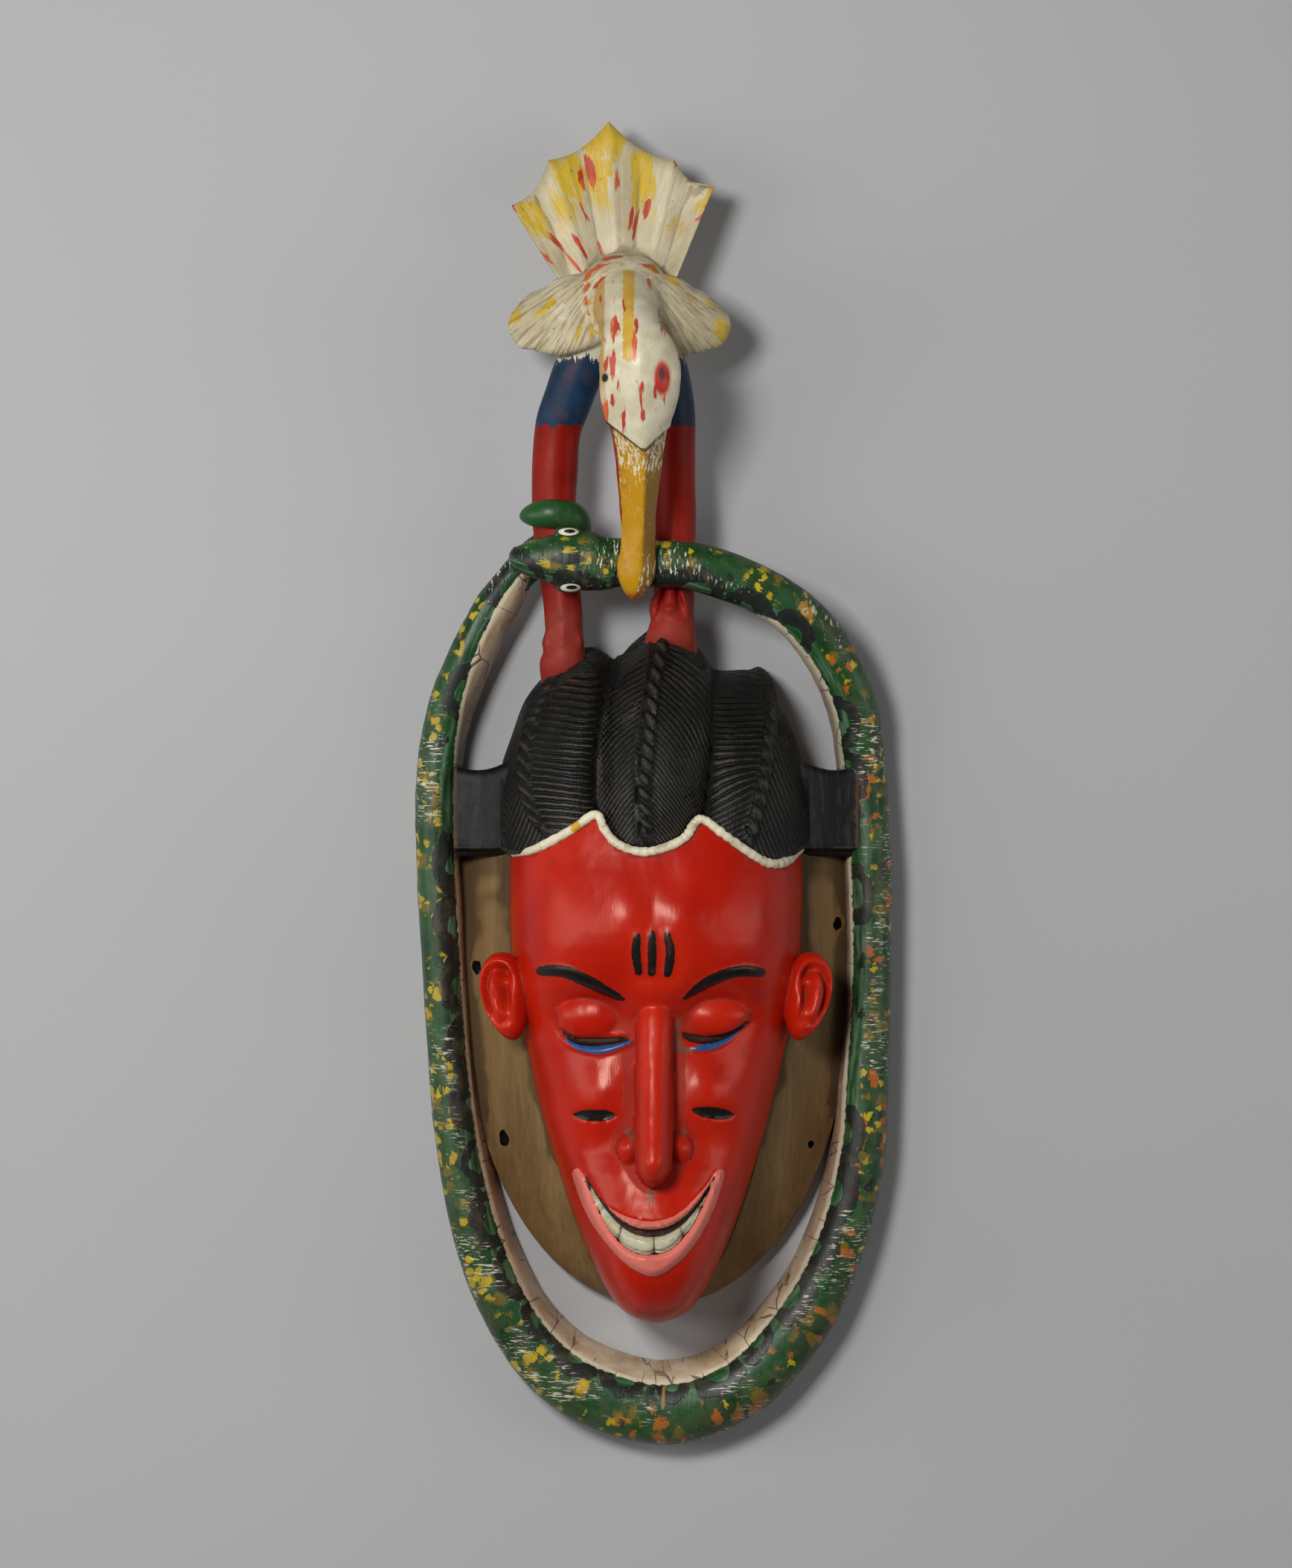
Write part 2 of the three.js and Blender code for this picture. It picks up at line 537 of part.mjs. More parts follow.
const paintedWood = new THREE.MeshStandardMaterial({ color: 0xb5301c, roughness: 0.45, metalness: 0 });
const mask = new THREE.Mesh(geometry, paintedWood);
mask.name = 'carved_mask';

const model = new THREE.Group();
model.add(mask);

export default model;
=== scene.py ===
import bpy
import numpy as np
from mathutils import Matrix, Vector


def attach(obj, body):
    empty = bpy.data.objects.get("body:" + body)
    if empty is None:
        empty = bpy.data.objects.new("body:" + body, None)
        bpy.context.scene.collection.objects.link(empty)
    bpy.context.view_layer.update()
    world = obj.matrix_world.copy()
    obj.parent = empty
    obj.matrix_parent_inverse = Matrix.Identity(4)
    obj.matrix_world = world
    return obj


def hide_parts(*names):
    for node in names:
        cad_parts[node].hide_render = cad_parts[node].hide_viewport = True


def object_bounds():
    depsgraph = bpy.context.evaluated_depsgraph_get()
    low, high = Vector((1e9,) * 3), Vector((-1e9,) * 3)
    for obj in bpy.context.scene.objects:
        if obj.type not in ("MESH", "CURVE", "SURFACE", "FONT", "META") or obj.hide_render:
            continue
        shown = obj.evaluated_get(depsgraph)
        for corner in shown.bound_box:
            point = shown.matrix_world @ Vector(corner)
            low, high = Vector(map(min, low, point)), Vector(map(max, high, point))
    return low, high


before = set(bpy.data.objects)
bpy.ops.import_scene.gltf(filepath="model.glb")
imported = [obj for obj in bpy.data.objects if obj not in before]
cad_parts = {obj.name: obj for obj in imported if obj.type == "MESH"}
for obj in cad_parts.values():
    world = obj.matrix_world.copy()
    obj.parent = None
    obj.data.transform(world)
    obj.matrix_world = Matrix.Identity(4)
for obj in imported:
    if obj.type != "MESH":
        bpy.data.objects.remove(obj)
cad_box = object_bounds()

MM = 0.001
CENTRE = np.array([0.855, -0.448, 0.0])
UP = (0.0, 0.0, 1.0)
ACROSS = (1.0, 0.0, 0.0)
ALONG = (0.0, 1.0, 0.0)

# Face: outline half widths and the height of its middle line, both by y
FACE = {"x": 0.5, "top": 22.0, "chin": -301.5, "back": 18.0, "side": 2.9, "front": 2.6}
FACE_WIDTH = [
    (22, 70), (0, 79), (-43, 82.5), (-88, 82), (-119, 80), (-145, 74.5), (-176, 67.5), (-198, 61.3),
    (-220, 54), (-243, 46), (-265, 37), (-285, 26.5), (-296, 16.5), (-301.5, 2),
]
FACE_PROFILE = [
    (22, 70), (0, 98), (-45, 115), (-82, 121), (-108, 116), (-130, 104), (-160, 102),
    (-200, 105), (-240, 109), (-268, 110), (-286, 100), (-296, 82), (-301.5, 54),
]
FEATURE_X = -1.0

# Nose ridge: y, height of its top, half width, depth of its sides
NOSE = [
    (-108, 104, 5.5, 6), (-116, 110, 7.5, 9), (-130, 116, 10.0, 14), (-158, 123, 10.4, 20),
    (-188, 132, 10.4, 26), (-206, 138, 10.2, 30), (-213, 135.5, 9.0, 30), (-218, 128, 6.0, 26), (-222, 112, 2.5, 16),
]

# Painted marks of the face: x, y and half width of a brush stroke
BROW_LEFT = [
    (-63.3, -102.6, 2.7), (-55.8, -102.2, 3.3), (-48.4, -103.0, 3.5), (-41, -106.2, 3.6),
    (-34.3, -109.4, 3.4), (-27.7, -112.9, 2.9), (-21.1, -116.2, 2.1), (-17.3, -118, 0.8),
]
BROW_RIGHT = [
    (15.8, -118, 0.8), (21.7, -113.0, 2.4), (28.3, -108.8, 3.1), (35, -105.5, 3.3),
    (43.4, -102.9, 3.2), (51.8, -102.2, 3.2), (58.5, -103.4, 2.7),
]
BARS = [
    [(-9.8, -83, 2.0), (-10.6, -92, 2.6), (-9.0, -102.6, 2.1)],
    [(-1.7, -81.5, 2.0), (-1.6, -92, 2.5), (-1.9, -102.8, 2.3)],
    [(6.5, -82, 2.0), (8.3, -92, 2.6), (6.9, -103.2, 2.3)],
]
SLIT_LEFT = [
    (-52.4, -135.1, 0.6), (-49.4, -138.1, 1.1), (-44.6, -140.9, 1.7), (-37.4, -142, 2.3),
    (-27.7, -141.5, 2.3), (-20.4, -140.7, 1.9), (-14.8, -140, 0.8),
]
SLIT_RIGHT = [
    (50.7, -130.3, 0.6), (47, -133.9, 1.1), (41, -137.5, 1.5), (34.9, -139.7, 1.8),
    (27.8, -140.7, 2.2), (20.5, -139.6, 2.4), (15.6, -137.7, 1.2),
]
BLUE_LEFT = [
    (-49.4, -140.3, 1.0), (-43.4, -143.9, 1.8), (-36.2, -145.7, 2.4), (-28.9, -145.9, 2.4),
    (-22.3, -144.4, 1.9), (-13.9, -141.5, 1.0),
]
BLUE_RIGHT = [(22.5, -145.3, 1.5), (30.1, -144.4, 2.0), (37.4, -141.5, 1.9), (43.4, -137.5, 1.4), (49.6, -132.5, 0.6)]
SCAR_LEFT = [(-45.7, -182.4, 0.5), (-40, -182.3, 2.6), (-33.7, -182.5, 3.3), (-27, -182.3, 2.8), (-21.7, -182.2, 0.5)]
SCAR_RIGHT = [(20.4, -179, 0.6), (26, -180.2, 2.8), (32, -181, 3.3), (38.5, -181.9, 2.8), (43.8, -182.4, 0.5)]
WORN = [
    [(13.5, -129, 1.4), (12.2, -137, 1.8), (13, -145, 2.4), (19, -146.5, 1.8)],
    [(-15.5, -190.5, 1.6), (-13, -193.5, 1.8)], [(15, -190, 1.4), (16.5, -193, 1.4)],
    [(-2.5, -224.5, 2.2), (-2.5, -230, 1.2)],
]

# Lips: closed outline of the pink paint, x and y
LIPS = [
    (-46.2, -215.6), (-44.9, -212.9), (-42.4, -212.3), (-40.2, -215), (-37.4, -220), (-33.6, -225.5), (-28.1, -231),
    (-22.6, -234.3), (-17.1, -237), (-9.4, -239.2), (-2.8, -240.1), (3.8, -239.2), (10.4, -237), (17, -232.6),
    (23.6, -226), (29.1, -220), (32.4, -214.6), (34.6, -212.3), (37, -212.6), (38.2, -215.2), (36.3, -223.2),
    (32.4, -234.3), (24.8, -248.6), (16, -259.6), (6, -267.8), (-1.6, -270.3), (-9.4, -267.8), (-17.1, -262.8),
    (-25.9, -254), (-34.7, -243.1), (-40.8, -232), (-44.6, -221.1),
]
# Smile: each curve is y = corner - drop * (1 - |(x - middle) / half| ** power), as middle, half, corner, drop, power
GAP_TOP = (-2.6, 35.6, -216.0, 28.6, 2.2)
TEETH_TOP = (-2.4, 34.3, -219.5, 29.2, 2.2)
TEETH_FOOT = (-3.3, 34.9, -218.6, 39.4, 2.35)
TOOTH_HUB = (-2.9, -186.0)
TOOTH_GAPS = np.radians([-46.0, -29.0, -15.2, 1.9, 16.4, 30.2, 45.0])

# Collar: egg outline; height of its rim, width of the land round the hollow, and the wall left over the hollow
COLLAR = {"x": 1.0, "y": -100.0, "half": 111.5, "down": 194.0, "up": 108.0, "down_power": 2.1, "up_power": 6.0}
RIM = 14.0
LAND = 13.0
WALL = 15.0
# Lacing holes: x, y, half width, half height and lean in degrees
LACING = [
    (-100.6, -102.5, 2.6, 4.0, 8), (-85.1, -199.0, 2.7, 4.8, 12), (103.0, -78.0, 2.4, 3.8, -6),
    (88.0, -202.5, 1.7, 2.3, -10),
]

# Hair: its lower and upper edge in the plan, the height of the scalp, and the lift of each roll over it
HAIRLINE = [
    (-86, -36), (-79, -38.5), (-66, -35), (-47, -25), (-33, -16), (-28, -24), (-21, -32), (-7.5, -36.5),
    (6, -34), (16.5, -28.5), (22, -20.5), (27, -19), (38, -27), (52, -37), (63, -43), (72, -42.5), (82, -36),
    (86, -34),
]
HAIR_TOP = [
    (-87, 12), (-82, 26), (-74, 47.5), (-62, 63), (-50, 74), (-38, 78.5), (-29, 76), (-22, 71.5), (-13, 80.5),
    (0, 90), (12, 90), (22, 81), (28.5, 73), (33, 66), (54, 65.5), (62, 62), (70, 47.5), (78, 32), (83, 18),
    (87, 4),
]
HAIR = {"left": -87.0, "right": 87.0, "scalp": 92.0, "side": 44.0, "middle": 4.0}
ROLL_LIFT = np.array([14.0, 22.0, 14.0])
VALLEY_LEFT = [(-40, -31), (20, -32.5), (75, -22)]
VALLEY_RIGHT = [(-40, 24), (20, 31), (75, 32)]
# Lines on the hair as y, x: plaits lie on the three rolls, with a crest beside two of them
PLAIT_LEFT = [(-40, -54), (-25.9, -59), (-21.6, -64.5), (-3.1, -72), (18.1, -72.5), (43.6, -66.4), (64, -55)]
PLAIT_MIDDLE = [(-40, -3), (-22, -5), (-2.9, -6.1), (18.1, -4.2), (38.2, -2.2), (54.9, -0.4), (73.5, 3.2), (90, 5)]
PLAIT_RIGHT = [(-43, 47), (-21.6, 54.9), (-0.4, 59.8), (18.1, 62.4), (43.6, 64.8), (57.8, 62.6), (66, 58)]
CREST_MIDDLE = [(-40, -9.5), (-24.5, -9.9), (-2, -11), (26.5, -9.6), (49, -6.2), (81.8, -2.4)]
CREST_RIGHT = [(-43, 43), (-21.6, 50.5), (-0.4, 55.6), (18.1, 58), (43.6, 60), (66, 55)]

# Snake: x, y, height of the middle, half depth, half width, slant of the inner wall, share of the half width
# across which the green front reaches before the pale inner wall begins. REST is the height and half depth of the
# ring where it lies on the ground
REST = (15.2, 22.8)
SNAKE_HEAD = [
    (-81.5, 127.6, 66, 1.5, 2, 0, 9), (-79, 127.3, 66, 6, 5.5, 0, 9), (-73, 126.5, 66, 9, 8.8, 0, 9),
    (-64, 126.3, 67, 11.5, 12, 0, 9), (-53, 126, 67.5, 13, 15, 0, 9), (-41, 125.3, 67.5, 13.5, 16.8, 0, 9),
    (-31, 124, 67, 13, 15.3, 0, 9), (-19, 124, 66, 12.5, 13.8, 0, 9),
]
RING = [
    (0, 123.5, 66, 12.5, 13.3, 0, 9), (24, 121.5, 65, 13, 13.5, 0, 6), (60, 109, 57, 14, 13, 1, 1.3),
    (89, 88, 44, 16, 13, 3, 0.95), (110, 53, 27, 19, 12.5, 5, 0.9), (118, 12, *REST, 12, 5, 0.95),
    (122, -45, *REST, 11.5, 7, 1.0), (122.5, -105, *REST, 11, 7, 1.0), (120.5, -160, *REST, 12, 7, 1.0),
    (117, -208, *REST, 13, 8, 0.95), (105, -258, *REST, 14, 9, 0.95), (84, -301, *REST, 16, 11, 0.95),
    (50, -339, *REST, 17, 14, 0.95), (5, -354.5, *REST, 18, 16, 0.95), (-44, -340, *REST, 17, 15, 0.95),
    (-76, -309, *REST, 15, 12, 0.95), (-98, -262, *REST, 13.5, 10, 0.95), (-111, -208, *REST, 12, 9, 0.98),
    (-117, -155, *REST, 11, 8, 1.0), (-121, -100, *REST, 11, 7, 1.0), (-124, -40, *REST, 11, 6, 1.0),
    (-124, 5, *REST, 11, 5, 0.95), (-119, 38, 20, 19, 10.5, 7, 0.8), (-108, 71, 26, 16, 9.5, 10, 0.6),
    (-95, 98, 29, 13, 8.5, 11, 0.5), (-82, 117, 29, 11, 7.5, 9, 0.5), (-71, 130, 28, 9, 7, 3, 0.6),
    (-64, 137, 28, 8, 6, 0, 0.8),
]
TAIL_COIL = [
    (-84, 108, 28, 9, 7), (-73, 121, 26, 8.5, 7), (-58, 132, 28, 8, 6), (-44, 139, 33, 8, 5.5),
    (-41, 146, 44, 8, 5.5), (-46, 150.5, 55, 8, 5.5), (-57, 152, 59, 8, 5.5), (-67, 151.5, 56, 7, 5),
    (-72.5, 151, 50, 4, 4), (-74.5, 150.8, 47, 1, 1),
]

# Bird's limbs: x, y, z, half width, half thickness, and for the head how far its top is drawn to a ridge
LEFT_LEG = [
    (-51, 56, 36, 13, 12), (-51, 68, 43, 13, 13), (-51, 82, 44, 11, 12), (-52.5, 107, 43, 11, 11.5),
    (-56.5, 148, 43, 12, 12), (-56.7, 172, 43, 12.6, 12), (-54.6, 197, 44, 13.2, 12.5), (-49, 216, 47, 13.6, 13),
    (-41, 236, 51, 14, 13.5), (-27, 258, 55, 15, 15),
]
RIGHT_LEG = [
    (9, 72, 40, 15, 14), (9, 84, 50, 14, 13), (10, 97, 48, 11.8, 12), (11, 112, 45, 11.2, 11.5),
    (11, 150, 44, 12, 12), (10.5, 190, 44, 12.2, 12), (8, 220, 48, 13, 13), (-4, 256, 55, 16, 15),
]
# Foot's front as an outline of x and z about its middle
TOES = [
    (-12.6, -5), (-11, 4), (-8, 5), (-5.2, 1), (-3.6, 7), (0, 9), (3.6, 7), (5.2, 1), (8, 5), (11, 4), (12.6, -5),
    (7, -12), (-7, -12),
]
HEAD = [
    (-17, 268, 60, 18, 20, 0), (-16, 266, 82, 16, 18, 0), (-14.5, 259, 98, 14, 15, 0),
    (-12.5, 249, 109, 15.5, 14.5, 0.1), (-10, 238, 113, 20, 15, 0.2), (-8.5, 227, 113, 21.3, 15.5, 0.3),
    (-8.7, 215, 111, 20, 15.3, 0.4), (-9, 204, 107.5, 17.4, 14, 0.5), (-9, 194, 103.5, 15.2, 12.6, 0.7),
    (-9, 181, 98.5, 13, 11, 0.9), (-9.2, 163, 93, 11.2, 10, 1), (-9.3, 147, 88.5, 9.9, 9.6, 1),
    (-9.6, 134, 85.5, 9.5, 9.3, 0.9), (-10.2, 122, 82.5, 10.6, 9, 0.7), (-11, 113, 79.8, 8.8, 8, 0.5),
    (-12, 106.5, 77, 5.2, 5.5, 0.3), (-12.7, 103, 75.5, 1, 1.5, 0),
]
# White skull ends in a point over the beak: apex x, y, and how steeply its left and right edges climb
SKULL_POINT = (-6.3, 184.4, 0.80, 1.0)
# Wing: distance out from BIRD_X, y, z, half thickness, half width
WING = [
    (2, 268, 56, 10, 17), (12, 267, 60, 13, 20), (24, 263.5, 61, 14.5, 22), (33, 260.7, 60, 14.5, 21.2),
    (42.7, 258.7, 57.5, 12.5, 18.2), (51, 256.0, 54, 10, 14), (56.5, 253.2, 51.5, 7.5, 9.5),
    (59.4, 251.6, 50, 3, 4.5), (60.1, 251.2, 49.8, 1, 1.5),
]
BIRD_X = -20.0
FAN_TIPS = np.array([(-80.5, 325.5), (-60, 351), (-26, 373), (11, 351), (33, 336)])
FAN = {"dip": 4.5, "root": (-20.0, 272.0), "root_half": 27.0, "z": 47.0, "lean": -0.1, "rib": 1.6, "thick": 11.0}


# ---- Numbers ----

def power(value, exponent):
    """Signed power: sign(v) * |v| ** e."""
    return np.sign(value) * np.abs(value) ** exponent


def smooth_step(low, high, value):
    """0 under low, 1 over high, and 3 t^2 - 2 t^3 between them."""
    t = np.clip((value - low) / (high - low), 0, 1)
    return t * t * (3 - 2 * t)


def bell(value, width):
    """Gaussian bell exp(-(value / width)^2)."""
    return np.exp(-((value / width) ** 2))


def hill(x, y, cx, cy, sx, sy):
    """Gaussian hill exp(-((x - cx) / sx)^2 - ((y - cy) / sy)^2)."""
    return np.exp(-(((x - cx) / sx) ** 2) - ((y - cy) / sy) ** 2)


def soft_max(a, b, k):
    """The higher of two surfaces, with a fillet of about k between them."""
    h = np.clip(0.5 + 0.5 * (a - b) / k, 0, 1)
    return b + (a - b) * h + k * h * (1 - h)


def along(pairs, x):
    """Cubic curve through (x, value) pairs, with slopes taken over both neighbours."""
    p = np.array(pairs, float)
    if p[0, 0] > p[-1, 0]:
        p = p[::-1]
    at = np.clip(x, p[0, 0], p[-1, 0])
    i = np.clip(np.searchsorted(p[:, 0], at) - 1, 0, len(p) - 2)
    k = np.arange(len(p))
    before, after = np.maximum(k - 1, 0), np.minimum(k + 1, len(p) - 1)
    slope = (p[after, 1] - p[before, 1]) / (p[after, 0] - p[before, 0])
    width = p[i + 1, 0] - p[i, 0]
    t = (at - p[i, 0]) / width
    s = t * t * (3 - 2 * t)
    bend = width * (slope[i] * t * (1 - t) ** 2 - slope[i + 1] * t * t * (1 - t))
    return p[i, 1] * (1 - s) + p[i + 1, 1] * s + bend


def blend_rows(rows, t):
    """Catmull-Rom blend of rows of numbers, t from 0 at the first row to 1 at the last."""
    r = np.array(rows, float)
    s = np.clip(t, 0, 1) * (len(r) - 1)
    i = np.minimum(s.astype(int), len(r) - 2)
    f = (s - i)[..., None]
    a, b, c, d = (r[np.clip(i + k, 0, len(r) - 1)] for k in (-1, 0, 1, 2))
    return 0.5 * (2 * b + (c - a) * f + (2 * a - 5 * b + 4 * c - d) * f ** 2 + (3 * b - a - 3 * c + d) * f ** 3)


def ripple(points, size, seed):
    """Smooth unevenness from about -1 to 1: the mean of seven sine waves in seeded directions, about size long."""
    rng = np.random.default_rng(seed)
    direction = rng.normal(size=(points.shape[-1], 7))
    direction /= np.linalg.norm(direction, axis=0)
    waves = direction * (2 * np.pi / size) * rng.uniform(0.6, 1.5, 7)
    return np.sin(points @ waves + rng.uniform(0, 2 * np.pi, 7)).mean(axis=-1) * 1.8


def stroke(x, y, rows, count):
    """Depth inside a brush stroke along rows (x, y, half width), in mm: half width less the distance to the line."""
    line = blend_rows(rows, np.linspace(0, 1, count + 1))
    start, step = line[:-1], np.diff(line, axis=0)
    length = (step[:, :2] ** 2).sum(1)
    px, py = x[..., None] - start[:, 0], y[..., None] - start[:, 1]
    t = np.clip((px * step[:, 0] + py * step[:, 1]) / length, 0, 1)
    away = np.hypot(px - t * step[:, 0], py - t * step[:, 1])
    return (start[:, 2] + t * step[:, 2] - away).max(axis=-1)


def strokes(x, y, lines, count=28):
    """Depth inside the nearest of several brush strokes, in mm."""
    return np.maximum.reduce([stroke(x, y, line, count) for line in lines])


def inside(x, y, outline):
    """Depth inside a closed outline, in mm, and less than 0 outside it."""
    a, b = outline, np.roll(outline, -1, axis=0)
    step = b - a
    px, py = x[..., None] - a[:, 0], y[..., None] - a[:, 1]
    t = np.clip((px * step[:, 0] + py * step[:, 1]) / (step ** 2).sum(1), 0, 1)
    away = np.hypot(px - t * step[:, 0], py - t * step[:, 1]).min(axis=-1)
    cross = (a[:, 1] > y[..., None]) != (b[:, 1] > y[..., None])
    left = px < step[:, 0] * py / np.where(step[:, 1] == 0, 1e-9, step[:, 1])
    odd = (cross & left).sum(axis=-1) % 2 == 1
    return np.where(odd, away, -away)


# ---- Forms ----

def skin(grid):
    """Closed surface over grid[row, column]: columns run once round, and the first and last rows are one point."""
    rows, columns = grid.shape[:2]
    points = np.vstack([grid[0, :1], grid[1:-1].reshape(-1, 3), grid[-1, :1]])
    here = np.arange(columns)
    beside = (here + 1) % columns
    start = 1 + np.arange(rows - 3)[:, None] * columns
    quads = np.stack([start + here, start + beside, start + beside + columns, start + here + columns], -1)
    last = 1 + (rows - 3) * columns
    head = np.stack([np.zeros_like(here), 1 + beside, 1 + here], -1)
    foot = np.stack([np.full_like(here, len(points) - 1), last + here, last + beside], -1)
    triangles = np.vstack([quads.reshape(-1, 4)[:, [0, 1, 2]], quads.reshape(-1, 4)[:, [0, 2, 3]], head, foot])
    p = points[triangles]
    volume = np.einsum("ij,ij->i", p[:, 0], np.cross(p[:, 1], p[:, 2])).sum()
    faces = quads.reshape(-1, 4).tolist() + head.tolist() + foot.tolist()
    return points, [f[::-1] for f in faces] if volume < 0 else faces


def form(name, grid, floor=0.0):
    """Object of a closed grid surface, cut off by the flat back plane, with one material that carries its name."""
    grid = grid.copy()
    grid[..., 2] = np.maximum(grid[..., 2], floor)
    points, faces = skin(grid)
    mesh = bpy.data.meshes.new(name)
    mesh.from_pydata(((points + CENTRE) * MM).tolist(), [], faces)
    mesh.materials.append(bpy.data.materials.get(name) or bpy.data.materials.new(name))
    made = bpy.data.objects.new(name, mesh)
    bpy.context.collection.objects.link(made)
    return made


def oval(angle, a, b):
    """Ellipse section: (a cos, b sin)."""
    return a * np.cos(angle), b * np.sin(angle)


def path_frame(rows, ref, t):
    """Centre, two section directions and sizes along a path: the first direction is ref made square to it."""
    data = blend_rows(rows, t)
    ahead = blend_rows(rows, t + 0.002)[:, :3] - blend_rows(rows, t - 0.002)[:, :3]
    ahead /= np.linalg.norm(ahead, axis=1, keepdims=True)
    axis = np.array(ref)
    first = axis - ahead * (ahead @ axis)[:, None]
    first /= np.linalg.norm(first, axis=1, keepdims=True)
    return data[:, :3], first, np.cross(ahead, first), data[:, 3:]


def limb(rows, ref, around, lengthwise, section=oval, relief=None):
    """Swept form: a section carried along a Catmull-Rom path, closed by a point at each end."""
    t = np.linspace(0, 1, lengthwise + 1)
    middle, first, second, sizes = path_frame(rows, ref, t)
    angle = 2 * np.pi * np.arange(around) / around
    d1, d2 = section(angle[None, :], *(sizes[:, k, None] for k in range(sizes.shape[1])))
    if relief is not None:
        swell = 1 + relief(t[:, None], angle[None, :]) / np.maximum(np.hypot(d1, d2), 1e-6)
        d1, d2 = d1 * swell, d2 * swell
    grid = middle[:, None] + d1[..., None] * first[:, None] + d2[..., None] * second[:, None]
    grid[0], grid[-1] = middle[0], middle[-1]
    return grid


def turn(points, x_angle, y_angle, z_angle):
    """Turns points by degrees about z, then y, then x."""
    for axis, angle in ((2, z_angle), (1, y_angle), (0, x_angle)):
        a, b = (axis + 1) % 3, (axis + 2) % 3
        c, s = np.cos(np.radians(angle)), np.sin(np.radians(angle))
        pa, pb = points[..., a].copy(), points[..., b].copy()
        points[..., a], points[..., b] = c * pa - s * pb, s * pa + c * pb
    return points


def egg(middle, half, angles, around, lengthwise, relief=None):
    """Ellipsoid with a relief, in mm, that lifts its front where the local height is over 0."""
    v = np.linspace(0, np.pi, lengthwise + 1)[:, None]
    u = 2 * np.pi * np.arange(around)[None, :] / around
    local = np.stack([np.sin(v) * np.cos(u), np.cos(v) + 0 * u, np.sin(v) * np.sin(u)], -1)
    grid = local * np.array(half, float)
    if relief is not None:
        grid[..., 2] += relief(local[..., 0], local[..., 1]) * smooth_step(0.0, 0.45, local[..., 2])
    return turn(grid, *angles) + np.array(middle, float)


# ---- Face ----

def face_relief(x, y):
    """Low forms of the skin: brow bosses, sockets, bridge, cheekbones and the swell round the mouth."""
    across = np.abs(x - FEATURE_X)
    boss = 3 * hill(across, y, 17, -72, 15, 17)
    socket = -11 * hill(across, y, 35, -124, 20, 13)
    bridge = 5 * hill(across, y, 0, -118, 17, 10)
    cheek = 5 * hill(across, y, 34, -170, 17, 15) - 3 * hill(across, y, 24, -199, 16, 12)
    muzzle = 7 * hill(across, y, 0, -247, 34, 26)
    return boss + socket + bridge + cheek + muzzle


def face_height(x, y):
    """Height of the plain skin: a superellipse arch over the outline, with the low forms added."""
    half = along(FACE_WIDTH, y)
    c = np.clip(np.abs(x - FACE["x"]) / half, 0, 1) ** (FACE["side"] / 2)
    s = np.sqrt(np.maximum(1 - c * c, 0))
    depth = along(FACE_PROFILE, y) - FACE["back"]
    return FACE["back"] + depth * s ** (2 / FACE["front"]) + face_relief(x, y) * s


def smile_curve(curve, x):
    """Height in y of one of the smile's curves at x."""
    middle, half, corner, drop, bend = curve
    u = np.clip(np.abs((x - middle) / half), 0, 1)
    return corner - drop * (1 - u ** bend)


def smile_outline(upper, lower, scallop=0.0, count=60):
    """Closed outline between two curves, whose lower edge may be scalloped at each tooth."""
    u = np.sin(np.linspace(-np.pi / 2, np.pi / 2, count))
    top = upper[0] + upper[1] * u
    foot = lower[0] + lower[1] * u[::-1]
    foot_y = smile_curve(lower, foot)
    if scallop:
        angle = np.arctan2(foot - TOOTH_HUB[0], TOOTH_HUB[1] - foot_y)
        nearest = np.abs(angle[:, None] - TOOTH_GAPS).min(axis=1) * (TOOTH_HUB[1] - foot_y)
        foot_y = foot_y + scallop * bell(nearest, 1.6)
    return np.vstack([np.stack([top, smile_curve(upper, top)], 1), np.stack([foot, foot_y], 1)])


def face_fields(x, y):
    """Depths in mm inside each painted or carved mark of the face, over the plan x, y."""
    hub = np.arctan2(x - TOOTH_HUB[0], TOOTH_HUB[1] - y)
    reach = np.hypot(x - TOOTH_HUB[0], y - TOOTH_HUB[1])
    gap = 0.5 - np.abs(hub[..., None] - TOOTH_GAPS).min(axis=-1) * reach
    return {
        "brow": strokes(x, y, (BROW_LEFT, BROW_RIGHT)),
        "bar": strokes(x, y, BARS, 8),
        "slit": strokes(x, y, (SLIT_LEFT, SLIT_RIGHT)),
        "blue": strokes(x, y, (BLUE_LEFT, BLUE_RIGHT)),
        "scar": strokes(x, y, (SCAR_LEFT, SCAR_RIGHT)),
        "worn": strokes(x, y, WORN, 8),
        "lips": inside(x, y, blend_rows([*LIPS, LIPS[0]], np.linspace(0, 1, 97)[:-1])),
        "mouth": inside(x, y, smile_outline(GAP_TOP, TEETH_FOOT)),
        "teeth": inside(x, y, smile_outline(TEETH_TOP, TEETH_FOOT, 1.3)),
        "gap": gap,
    }


